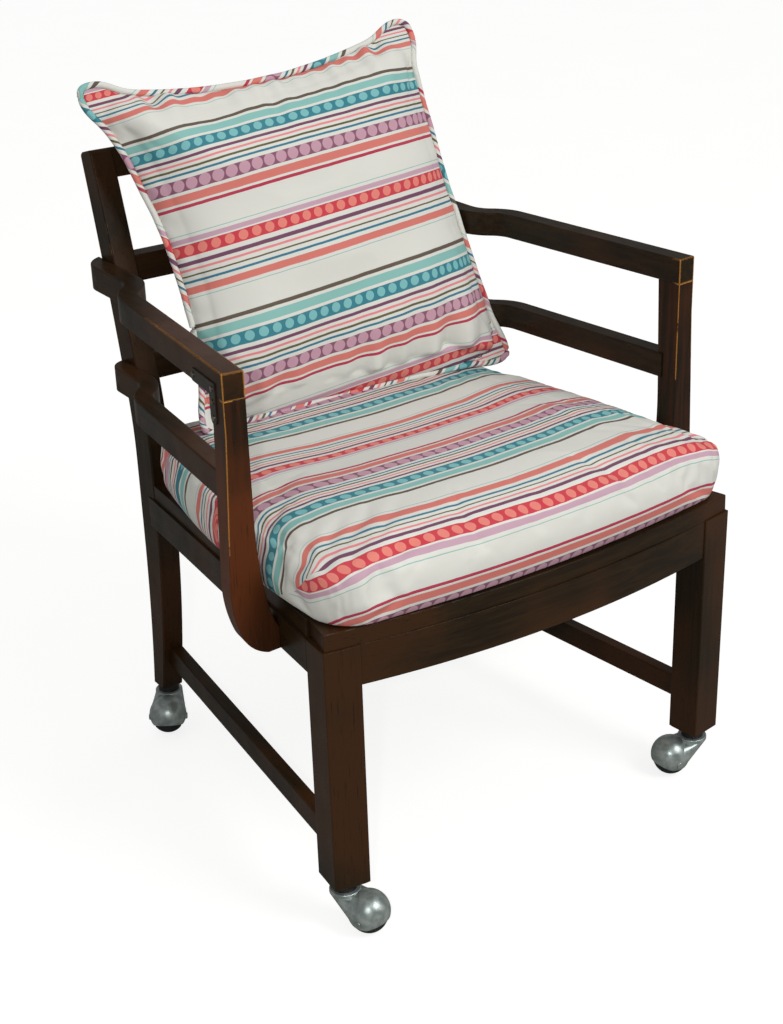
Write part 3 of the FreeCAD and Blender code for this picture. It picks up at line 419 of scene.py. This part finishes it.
striped, given, results = new_group(
    "striped_cloth", [("Cloth", "Vector")], [("Color", "Color"), ("Height", "Float")])
apart = put(striped, "SeparateXYZ", {0: given["Cloth"]}).outputs
across_mm = reckon(striped, "MULTIPLY", apart[0], 1000.0)
down_mm = reckon(striped, "MULTIPLY", apart[1], 1000.0)
wobble = reckon(striped, "SUBTRACT", noise_map(striped, given["Cloth"], 60.0, detail=1.0), 0.5)
down_mm = reckon(striped, "ADD", down_mm, reckon(striped, "MULTIPLY", wobble, 0.7))
place_mm = reckon(striped, "FLOORED_MODULO", down_mm, repeat)
place_share = reckon(striped, "DIVIDE", place_mm, repeat)
halves = []   # two ramps, since one holds too few colours
for part in (0, 1):
    ramp = put(striped, "ValToRGB", {0: place_share})
    bands = [band for band in stripes if (band[0] * 2 >= repeat) == bool(part)]
    ramp.color_ramp.interpolation = "CONSTANT"
    ramp.color_ramp.elements[0].color = ground
    ramp.color_ramp.elements.remove(ramp.color_ramp.elements[1])
    for start, end, colour in bands:
        ramp.color_ramp.elements.new(start / repeat).color = colour
        ramp.color_ramp.elements.new(end / repeat).color = ground
    halves.append(ramp.outputs[0])
printed = blend_colours(striped, reckon(striped, "GREATER_THAN", place_share, 0.5), *halves)
beside_dot = reckon(striped, "FLOORED_MODULO", across_mm, dot_pitch)
beside_dot = reckon(striped, "SUBTRACT", beside_dot, dot_pitch / 2)
for middle, radius, colour in dots:
    off = reckon(striped, "SUBTRACT", place_mm, middle)
    far = reckon(striped, "SQRT", reckon(striped, "ADD", reckon(striped, "MULTIPLY", off, off),
                                         reckon(striped, "MULTIPLY", beside_dot, beside_dot)))
    outside = ease(striped, far, radius - dot_edge, radius + dot_edge)
    printed = blend_colours(striped, reckon(striped, "SUBTRACT", 1.0, outside), printed, colour)
faded = reckon(striped, "MULTIPLY", noise_map(striped, given["Cloth"], 14.0, detail=3.0), 0.07)
printed = blend_colours(striped, faded, printed, faded_colour)
weaves = [put(striped, "TexWave", {"Vector": given["Cloth"], "Scale": threads_per_metre},
              bands_direction=direction).outputs[1] for direction in ("X", "Y")]
threads = reckon(striped, "ADD", *weaves)
shade = reckon(striped, "ADD", 0.94, reckon(striped, "MULTIPLY", threads, 0.04))
printed = put(striped, "VectorMath", {0: printed, "Scale": shade}, operation="SCALE").outputs[0]
striped.links.new(printed, results["Color"])
striped.links.new(threads, results["Height"])


def cloth_material(name, tilt_degrees, folded=False):
    """The striped cotton, read from a piece's own cloth map in metres and turned by tilt_degrees.
    Where it is folded, a second map holds beyond the line where the fold map passes zero."""
    material, tree, shader = new_material(name)
    spread = put(tree, "UVMap", uv_map="cloth").outputs[0]
    if folded:
        beyond = put(tree, "SeparateXYZ", {0: put(tree, "UVMap", uv_map="fold").outputs[0]}).outputs[0]
        second = put(tree, "UVMap", uv_map="front_cloth").outputs[0]
        spread = put(tree, "Mix", {0: reckon(tree, "GREATER_THAN", beyond, 0.0), 4: spread, 5: second},
                     data_type="VECTOR").outputs[1]
    tilt = (0, 0, math.radians(tilt_degrees))
    spread = put(tree, "Mapping", {"Vector": spread, "Rotation": tilt}).outputs[0]
    cloth = place_group(tree, striped, {"Cloth": spread})
    tree.links.new(cloth["Color"], shader.inputs["Base Color"])
    tree.links.new(bump(tree, cloth["Height"], 0.12, 0.0004), shader.inputs["Normal"])
    rough = reckon(tree, "MULTIPLY", noise_map(tree, spread, 40.0), 0.12)
    tree.links.new(reckon(tree, "ADD", rough, 0.78), shader.inputs["Roughness"])
    shader.inputs["Specular IOR Level"].default_value = 0.25
    shader.inputs["Sheen Weight"].default_value = 0.04
    shader.inputs["Sheen Roughness"].default_value = 0.5
    return material


cover_cloth = cloth_material("striped_cotton", 0.0)
seat_cloth = cloth_material("striped_cotton_folded", 0.0, folded=True)
piping_cloth = cloth_material("striped_cotton_bias", 45.0)


# ---- Seat cushion ----------------------------------------------------------------------------
# A boxed foam cushion in a wrapped cover: the stripes run across the top, down over the front,
# and so stand upright on the sides, with a fold at each front corner. It lies between the arms.
simulated_frames = 20
swelling_rounds = 40   # how often the swelling is evened, which leaves the creases over
free_crease = 0.15     # the share of a crease that stays where there are no limits
cushion_voxel = 0.0055
cushion_inset = 0.003
cushion_round = 0.015
cushion_turn = math.radians(1.6)
cushion_middle = Vector((0, 0.249 - 0.2910375, 0))
corner_start, corner_y, corner_radius, side_out = 0.2549, -0.2595, 0.042, 0.2969   # the outline
front_middle, front_bow = -0.3214, 0.027
crown_top, crown_fall, crown_slope = 0.4755, 0.0181, 0.015
crest_height = 0.009
middle_round = 0.035    # rounds the stripes' bend in the middle
straight_from = 0.235   # the stripes run straight on from here to the right side
back_reach = 0.03       # this near to the back, the top's cloth starts to turn down over it
seen_across, seen_back = 1.19, 1.80   # how far a raised point hides the surface behind it
front_to_cloth = -0.565
pinned_low, pinned_high = 0.392, 0.405   # pinned below the first, free above the second
seam_height = 0.455
swell_low, swell_out, swell_rear = 0.42, 0.262, 0.09   # the part of the top that may swell and fold
drop_at = (0.0, 0.206, 0.246, 0.276, 0.311, 0.331, 0.366)   # along the front and round the corner
drops = (0.0, 0.001, 0.006, 0.0148, 0.030, 0.040, 0.045)
fold_at = (-0.30, -0.2533, -0.2384, -0.2272, -0.2061, -0.1818, -0.150)   # back along the side
fold_heights = (0.506, 0.4538, 0.4372, 0.4245, 0.4103, 0.398, 0.380)
out_at = (0.0, 0.12, 0.20, 0.25, 0.275, 0.295)   # from the middle to the side
back_at = (-0.30, -0.257, -0.232, -0.212, -0.172, -0.092, -0.012, 0.068)
top_to_cloth = (   # one row for each place back
    (0.2185, 0.2087, 0.1979, 0.1960, 0.1925, 0.1885), (0.2080, 0.1977, 0.1869, 0.1850, 0.1835, 0.1870),
    (0.1990, 0.1897, 0.1794, 0.1740, 0.1745, 0.1885), (0.1980, 0.1857, 0.1699, 0.1706, 0.1730, 0.1900),
    (0.1980, 0.1844, 0.1654, 0.1705, 0.1785, 0.2004), (0.2005, 0.1872, 0.1694, 0.1720, 0.1790, 0.2030),
    (0.2190, 0.2027, 0.1764, 0.1790, 0.1825, 0.2039), (0.2150, 0.2017, 0.1829, 0.1830, 0.1875, 0.2049))


def copy_of_node(name):
    """A welded copy of a CAD node's mesh, as a bmesh."""
    shape = bmesh.new()
    shape.from_mesh(nodes[name].data)
    bmesh.ops.remove_doubles(shape, verts=shape.verts, dist=1e-6)
    bmesh.ops.recalc_face_normals(shape, faces=shape.faces)
    return shape


def soft_step(value, low, high):
    share = min(1.0, max(0.0, (value - low) / (high - low)))
    return share * share * (3 - 2 * share)


def face_outwards(shape):
    if shape.calc_volume(signed=True) < 0:
        bmesh.ops.reverse_faces(shape, faces=shape.faces)
    shape.normal_update()


def piece_from(shape, name, material):
    """A smooth object made of a bmesh, in one material."""
    face_outwards(shape)
    mesh = bpy.data.meshes.new(name)
    shape.to_mesh(mesh)
    shape.free()
    for face in mesh.polygons:
        face.use_smooth = True
    piece = bpy.data.objects.new(name, mesh)
    scene.collection.objects.link(piece)
    piece.data.materials.append(material)
    return piece


def shell_of(name):
    """A CAD node's surface, to find the nearest place on."""
    shape = copy_of_node(name)
    tree = BVHTree.FromBMesh(shape)
    shape.free()
    return tree


def evened(values, pairs, rounds):
    """Values at a mesh's points, averaged with their neighbours' several times."""
    links = np.zeros(len(values))
    for end in (0, 1):
        np.add.at(links, pairs[:, end], 1)
    for _ in range(rounds):
        total = values.copy()
        for end in (0, 1):
            np.add.at(total, pairs[:, end], values[pairs[:, 1 - end]])
        values = total / (links + 1)[:, None]
    return values


def stuff(piece, shell, pins, slack, limits, most_slack, pressure, bending, gathers=None):
    """Blows the cover up as cloth, pinned at its seams. Pins, slack and limits have one value for
    each point. Its swelling then stays within its limits of the CAD shape, and folds stay on it. The
    limits are most in, most out, most fold, and how free of the three the point is, from 0 to 1."""
    places = np.array([vertex.co for vertex in piece.data.vertices])
    pairs = np.array([edge.vertices for edge in piece.data.edges])
    creases = np.zeros_like(places)
    swelling = creases
    for label, weights in (("pins", pins), ("slack", slack)):
        group = piece.vertex_groups.new(name=label)
        for index, weight in enumerate(weights):
            if weight > 0:
                group.add([index], weight, "REPLACE")
    cloth = piece.modifiers.new("stuffing", "CLOTH")
    fabric = cloth.settings
    fabric.quality = 6
    fabric.mass = 0.3
    fabric.air_damping = 3.0
    fabric.tension_stiffness = fabric.compression_stiffness = 18
    fabric.shear_stiffness = 6
    fabric.bending_stiffness = bending
    fabric.use_pressure = True
    fabric.uniform_pressure_force = pressure
    fabric.vertex_group_mass = "pins"
    fabric.vertex_group_shrink = "slack"
    fabric.shrink_min = 0.0
    fabric.shrink_max = -most_slack
    fabric.effector_weights.gravity = 0
    cloth.collision_settings.use_collision = False
    cloth.collision_settings.use_self_collision = False
    cloth.point_cache.frame_start, cloth.point_cache.frame_end = 1, simulated_frames
    for number in range(1, simulated_frames + 1):
        scene.frame_set(number)
    blown = piece.evaluated_get(bpy.context.evaluated_depsgraph_get()).data
    moved = np.array([vertex.co for vertex in blown.vertices]) - places
    piece.modifiers.remove(cloth)
    scene.frame_set(1)
    swelling = evened(moved, pairs, swelling_rounds)
    creases = moved - swelling
    if gathers is not None:
        creases = creases + gathers
    normals = evened(np.array([vertex.normal for vertex in piece.data.vertices]), pairs, 2)
    normals /= np.linalg.norm(normals, axis=1)[:, None]
    heights = (swelling * normals).sum(axis=1)
    for vertex, place, normal, height, crease, limit in zip(
            piece.data.vertices, places, normals, heights, creases, limits):
        place, normal, crease = Vector(place), Vector(normal), Vector(crease)
        most_in, most_out, most_fold, free = limit
        crease *= 1 - (1 - free_crease) * free
        free_place = place + normal * max(height, 0.0) + crease
        near, facing, _, _ = shell.find_nearest(place)
        start = (place - near).dot(facing)
        place += normal * (min(max(start + height, -most_in), most_out) - start) + crease
        near, facing, _, _ = shell.find_nearest(place)
        place -= facing * max(0.0, (place - near).dot(facing) - most_out - most_fold)
        vertex.co = place.lerp(free_place, free)
    finish = piece.modifiers.new("smooth_cloth", "SUBSURF")
    finish.levels = finish.render_levels = 1


seat_shell = shell_of("seat_cushion")


def own_place(point):
    """A point in the cushion's own frame: it lies a little turned on the seat."""
    off = point - cushion_middle
    off.rotate(Matrix.Rotation(-cushion_turn, 3, "Z"))
    return off + cushion_middle


def crest(point):
    """How far the stuffing raises the top here over the CAD shape."""
    rise = soft_step(point.y, -0.30, -0.24) * (1 - soft_step(point.y, -0.12, -0.05))
    return crest_height * rise * (1 - soft_step(abs(point.x), 0.20, 0.28))


def edge_place(point):
    """Distance from the middle of the front, round the corner and back along the side, distance in
    from the outline there, and the way out of it."""
    out, side = abs(point.x), 1 if point.x > 0 else -1
    if out <= corner_start:
        return out, point.y - front_middle - front_bow * (out / side_out) ** 2, Vector((0, -1, 0))
    if point.y >= corner_y:
        round_length = corner_start + corner_radius * math.pi / 2
        return round_length + point.y - corner_y, side_out - out, Vector((side, 0, 0))
    off = Vector((out - corner_start, point.y - corner_y, 0))
    distance = corner_start + corner_radius * math.atan2(off.x, -off.y)
    off.x *= side
    return distance, corner_radius - off.length, off.normalized()


def top_place(point):
    """How far back along the cloth a point of the top lies."""
    raised = crest(point)
    out, back = abs(point.x + seen_across * raised), point.y + seen_back * raised
    if point.x > 0:
        out = min(out, straight_from)
    rows = [np.interp(math.hypot(out, middle_round), out_at, row) for row in top_to_cloth]
    return back + np.interp(back, back_at, rows)


def cloth_places(point, facing, rear):
    """Where a point of the cushion lies on the top's cloth and on the front's, and how far it is
    below the fold between them, all in metres. Facing is its normal, and rear the cushion's back."""
    point = own_place(point)
    side = 1 if point.x > 0 else -1
    distance, inward, outward = edge_place(point)
    top = crown_top - crown_fall * (point.x / side_out) ** 2 - crown_slope * (point.y - front_middle)
    below = top - point.z
    past = max(0.0, cushion_round - inward)
    tip = min(math.pi / 2, math.atan2(past, cushion_round - below))
    turned = tip / (math.pi / 2)
    last_top = point - outward * past
    over = cushion_round * tip + max(0.0, below - cushion_round) * turned
    top_out = abs(last_top.x) + over * abs(outward.x) if past else abs(point.x)
    down = min(point.z, top - cushion_round) + front_to_cloth + np.interp(distance, drop_at, drops)
    front_down = top_place(last_top) * (1 - turned) + down * turned
    front_out = abs(point.x) * (1 - turned) + distance * turned
    fold_height = np.interp(point.y, fold_at, fold_heights)
    before_back = Vector((point.x, min(point.y, rear - back_reach), point.z))
    passed = point.y - before_back.y
    behind = soft_step(facing.y, 0.25, 0.75) if passed > 0 else 0.0
    top_down = top_place(before_back) + passed * (1 - behind) + (back_reach + below) * behind
    return (side * top_out, top_down), (side * front_out, front_down), (fold_height - point.z, 0.0)


shape = copy_of_node("seat_cushion")
draft = piece_from(shape, "seat_cushion_draft", seat_cloth)
remesh = draft.modifiers.new("even_mesh", "REMESH")
remesh.mode, remesh.voxel_size = "VOXEL", cushion_voxel
even = bpy.data.meshes.new_from_object(draft.evaluated_get(bpy.context.evaluated_depsgraph_get()))
bpy.data.objects.remove(draft)
shape = bmesh.new()
shape.from_mesh(even)
face_outwards(shape)
maps = [shape.loops.layers.uv.new(label) for label in ("cloth", "front_cloth", "fold")]
rear = max(own_place(vertex.co).y for vertex in shape.verts)
places = [cloth_places(vertex.co, vertex.normal, rear) for vertex in shape.verts]
for face in shape.faces:
    for loop in face.loops:
        for layer, place in zip(maps, places[loop.vert.index]):
            loop[layer].uv = place
for vertex in shape.verts:
    raised = crest(own_place(vertex.co)) * soft_step(vertex.normal.z, 0.3, 0.8)
    vertex.co -= vertex.normal * cushion_inset
    vertex.co.z += raised
cushion = piece_from(shape, "seat_cushion_cover", seat_cloth)
pins, slack, limits = [], [], []
for vertex in cushion.data.vertices:
    point = own_place(vertex.co)
    pins.append(1 - soft_step(point.z, pinned_low, pinned_high))
    ripple = noise.noise(vertex.co * 14)
    slack.append(0.35 + 0.35 * ripple + 0.3 * (1 - soft_step(abs(point.z - seam_height), 0, 0.03)))
    open_top = vertex.co.z > swell_low and abs(vertex.co.x) < swell_out and vertex.co.y < swell_rear
    limits.append((0.0, 0.001 + crest(point), 0.003, 0.0) if open_top else (0.0008, 0.0, 0.0008, 0.0))
stuff(cushion, seat_shell, pins, slack, limits, most_slack=0.03, pressure=4.0, bending=1.0)
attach(cushion, "frame")
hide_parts("seat_cushion")


# ---- Back pillow -----------------------------------------------------------------------------
# Two square panels sewn together with a bias-cut piping between them and stuffed with fibre. It
# leans on the back rails. Its edges pull in between pointed corners and gather along the seam.
pillow_size = (0.467, 0.447)
pillow_corners = ((-0.424, 0.0), (0.568, 0.0), (0.433, 1.029), (-0.557, 0.968))   # shares of the size
pillow_pulls = (0.0048, 0.0112, 0.034, 0.040)   # inwards: bottom, right, top, left
pillow_depths = (0.060, 0.0666)                 # front, back
pillow_lean = math.radians(-18.4)
pillow_turn = math.radians(-2.0)
pillow_foot = (0.0, 0.414 - 0.2910375, 0.465)
panel_cells = 100
seam_steps = 420
seam_rounds = 12
ear_reach, ear_width = 0.007, 0.011
ear_fill = 0.003   # keeps the two panels apart in the top corners
panel_fullness = 0.90
gather_heights = (0.022, 0.036, 0.007)    # top seam, bottom seam, side seams
gather_reaches = (0.036, 0.050, 0.028)
stripe_tilt = 0.094
print_top = 0.400
print_stretch = 1.9        # how much faster the print passes near the seams
swell_foot, swell_right = 0.03, 0.235   # the part of the front that may swell and fold
pillow_shell = shell_of("back_pillow")
pillow_frame = (Matrix.Translation(pillow_foot) @ Matrix.Rotation(pillow_turn, 4, "Z")
                @ Matrix.Rotation(pillow_lean, 4, "X"))


def plain_place(across, up):
    """A point of a panel in the pillow's own plane, from its shares across and up, each -1 to 1."""
    ring = max(abs(across), abs(up))
    middle_up = pillow_size[1] / 2
    corners = [Vector((c[0] * pillow_size[0], c[1] * pillow_size[1] - middle_up)) for c in pillow_corners]
    right, top = (across + 1) / 2, (up + 1) / 2
    place = ((corners[0] * (1 - right) + corners[1] * right) * (1 - top)
             + (corners[3] * (1 - right) + corners[2] * right) * top)
    if ring > 0:
        centre = sum(corners, Vector((0, 0))) / 4 * ring
        sides = ((0, -up), (1, across), (2, up), (3, -across))
        for index, toward in sides:
            if toward >= ring - 1e-9:
                along = (across if index in (0, 2) else up) / ring
                half_way = (corners[index] + corners[(index + 1) % 4]) / 2 * ring
                inward = (centre - half_way).normalized()
                place += inward * pillow_pulls[index] * ring * ring * (1 - along * along)
                break
    return place


def round_way(across, up):
    """How far round the seam a place lies, from 0 to 4, from the bottom left corner."""
    ring = max(abs(across), abs(up), 1e-6)
    across, up = across / ring, up / ring
    if -up >= 1 - 1e-9:
        return (across + 1) / 2
    if across >= 1 - 1e-9:
        return 1 + (up + 1) / 2
    if up >= 1 - 1e-9:
        return 2 + (1 - across) / 2
    return 3 + (1 - up) / 2


# The seam: each corner reaches out a little as an ear and is then rounded, and the line sways.
seam_shares = []
for step in range(seam_steps):
    side, part = divmod(step / seam_steps * 4, 1)
    part = part * 2 - 1
    seam_shares.append(((part, -1), (1, part), (-part, 1), (-1, -part))[int(side)])
plain_seam = [plain_place(*shares) for shares in seam_shares]
seam = []
for (across, up), place in zip(seam_shares, plain_seam):
    to_tip = (1 - min(abs(across), abs(up))) * pillow_size[1] / 2
    share = 1.0 if up > 0 else 0.4
    flank = Vector((round(across) if abs(across) == 1 else 0, round(up) if abs(up) == 1 else 0))
    sway = noise.noise(Vector((across * 9, up * 9, 7.0))) * 0.0018
    move = flank * (share * ear_width * math.exp(-((to_tip - 0.025) / 0.014) ** 2) + sway)
    seam.append(place + move + place.normalized() * share * ear_reach * math.exp(-(to_tip / 0.012) ** 2))
for _ in range(seam_rounds):
    seam = [(seam[i - 1] + seam[i] * 2 + seam[(i + 1) % seam_steps]) / 4 for i in range(seam_steps)]
seam_moves = [after - before for after, before in zip(seam, plain_seam)]


def panel_place(across, up, front):
    """The same point in three dimensions, on the front or the back panel of the stuffed pillow."""
    ring = max(abs(across), abs(up))
    step = round_way(across, up) / 4 * seam_steps
    low = int(step)
    move = seam_moves[low % seam_steps].lerp(seam_moves[(low + 1) % seam_steps], step - low)
    place = plain_place(across, up) + move * ring ** 7
    soft_ring = min(1.0, (abs(across) ** 6 + abs(up) ** 6) ** (1 / 6))
    deep = max(0.0, 1 - soft_ring ** 2.3) ** 0.62
    in_ear = soft_step(min(abs(across), up), 0.72, 0.88) * (1 - ring ** 16)
    depth = (pillow_depths[0 if front else 1] * deep + ear_fill * in_ear) * (-1 if front else 1)
    sway = noise.noise(Vector((across * 4.1, up * 4.1, 3.0))) * soft_step(ring, 0.93, 1.0)
    return Vector((place.x, depth * panel_fullness + 0.004 * sway, place.y + pillow_size[1] / 2))


def gather(across, up, x):
    """How far the cloth rises or sinks here in the small folds that start at the seams."""
    half = pillow_size[1] / 2
    to_seams = to_top, to_bottom, to_side = (1 - up) * half, (1 + up) * half, (1 - abs(across)) * half
    fading = [math.exp(-distance / reach) for distance, reach in zip(to_seams, gather_reaches)]
    above = noise.noise(Vector((x * 42, to_top * 6, 1.0))) * fading[0] * gather_heights[0]
    below = noise.noise(Vector((x * 34, to_bottom * 5, 4.0))) * fading[1]
    below *= gather_heights[1] * (0.4 + 0.6 * soft_step(x, -0.06, 0.12))
    beside = noise.noise(Vector((up * 9, to_side * 6, 8.0))) * fading[2] * gather_heights[2]
    broad = noise.noise(Vector((across * 2.1, up * 3.0, 2.0))) * 0.006
    at_seam = soft_step(min(to_seams), 0.0, 0.008)
    return (above + below + beside) * at_seam + broad * (1 - max(abs(across), abs(up)) ** 4)


def pillow_cloth_place(across, up, x, z):
    """Where a point of a panel lies on the cloth: further out near the seam, where it slopes."""
    height = z - stripe_tilt * x
    down = print_top - height - print_stretch * max(0.0, height - 0.30) ** 2
    down += 1.2 * max(0.0, 0.10 - height) ** 2
    spread = abs(x) + print_stretch * max(0.0, abs(x) - 0.12) ** 2
    return (spread if x > 0 else -spread), down


shape = bmesh.new()
cloth_map = shape.loops.layers.uv.new("cloth")
across_share, up_share = (shape.verts.layers.float.new(label) for label in ("across", "up"))
for front in (True, False):
    made = bmesh.ops.create_grid(shape, x_segments=panel_cells, y_segments=panel_cells, size=1.0)
    panel = made["verts"]
    shares = {vertex: (vertex.co.x, vertex.co.y) for vertex in panel}
    for vertex, (across, up) in shares.items():
        vertex.co = panel_place(across, up, front)
        vertex[across_share], vertex[up_share] = across, up
    for face in {face for vertex in panel for face in vertex.link_faces}:
        for loop in face.loops:
            across, up = shares[loop.vert]
            loop[cloth_map].uv = pillow_cloth_place(across, up, loop.vert.co.x, loop.vert.co.z)
bmesh.ops.remove_doubles(shape, verts=shape.verts, dist=1e-5)
bmesh.ops.recalc_face_normals(shape, faces=shape.faces)
bmesh.ops.transform(shape, matrix=pillow_frame, verts=shape.verts)
pillow = piece_from(shape, "back_pillow_cover", cover_cloth)
back_to_plane = pillow_frame.inverted()
pins, slack, limits, gathers = [], [], [], []
marks = pillow.data.attributes
for vertex, across, up in zip(pillow.data.vertices, marks["across"].data, marks["up"].data):
    local, across, up = back_to_plane @ vertex.co, across.value, up.value
    ring = max(abs(across), abs(up))
    on_seam = ring > 0.999
    pins.append(1.0 if on_seam else 0.0)
    high_part, low_part = soft_step(local.z, 0.30, 0.40), 1 - soft_step(local.z, 0.05, 0.12)
    side_part = soft_step(abs(local.x), 0.13, 0.22)
    ripple = 0.5 + 0.5 * noise.noise(Vector((local.x * 16, local.y * 20, local.z * 9)))
    slack.append(min(1.0, 0.12 + (0.75 * max(high_part, low_part) + 0.35 * side_part) * ripple))
    open_front = local.y < 0 and local.z > swell_foot and vertex.co.x < swell_right
    ear = soft_step(min(abs(across), up), 0.72, 0.90)
    gathered = gather(across, up, local.x) * (1 - ear) ** 2 if open_front else 0.0
    gathers.append(vertex.normal * gathered)
    most_in = 0.0025 + 0.012 * soft_step(ring, 0.85, 1.0)
    free = 1.0 if on_seam else ear
    limits.append((most_in, 0.002, 0.009, free) if open_front else (most_in, 0.0, 0.0003, free))
stuff(pillow, pillow_shell, pins, slack, limits, most_slack=0.09, pressure=3.5, bending=0.6,
      gathers=np.array(gathers))
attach(pillow, "pillow")
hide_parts("back_pillow")


# ---- Piping ----------------------------------------------------------------------------------
# A cord about 8 mm thick in a strip of the same cloth, cut on the bias, so its stripes wind
# round it. It is sewn into the pillow's seam all the way round.
piping_radius = 0.0041
piping_sides = 10
piping_out = 0.0022        # how far its middle lies out from the seam
pillow_middle_x = 0.005
seam_line = []
for (across, up), flat in zip(seam_shares, seam):
    outward = Vector((flat.x - pillow_middle_x, 0, flat.y)).normalized()
    seam_line.append(panel_place(across, up, True) + outward * (piping_out if up > -1 else 0.0))
shape = bmesh.new()
cloth_map = shape.loops.layers.uv.new("cloth")
rings, travelled = [], [0.0]
for step, place in enumerate(seam_line):
    after = seam_line[(step + 1) % seam_steps]
    heading = (after - seam_line[step - 1]).normalized()
    turned = heading.to_track_quat("Z", "Y").to_matrix().to_4x4()
    ring = bmesh.ops.create_circle(shape, segments=piping_sides, radius=piping_radius,
                                   matrix=Matrix.Translation(place) @ turned)["verts"]
    rings.append(ring)
    travelled.append(travelled[-1] + (after - place).length)
girth = 2 * math.pi * piping_radius
for step in range(seam_steps):
    near_ring, far_ring = rings[step], rings[(step + 1) % seam_steps]
    for spoke in range(piping_sides):
        beside = (spoke + 1) % piping_sides
        face = shape.faces.new((near_ring[spoke], near_ring[beside], far_ring[beside], far_ring[spoke]))
        for loop, (go, turn_by) in zip(face.loops, ((0, 0), (0, 1), (1, 1), (1, 0))):
            loop[cloth_map].uv = (travelled[step + go], girth * (spoke + turn_by) / piping_sides)
bmesh.ops.recalc_face_normals(shape, faces=shape.faces)
bmesh.ops.transform(shape, matrix=pillow_frame, verts=shape.verts)
piping = piece_from(shape, "pillow_piping", piping_cloth)
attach(piping, "pillow")
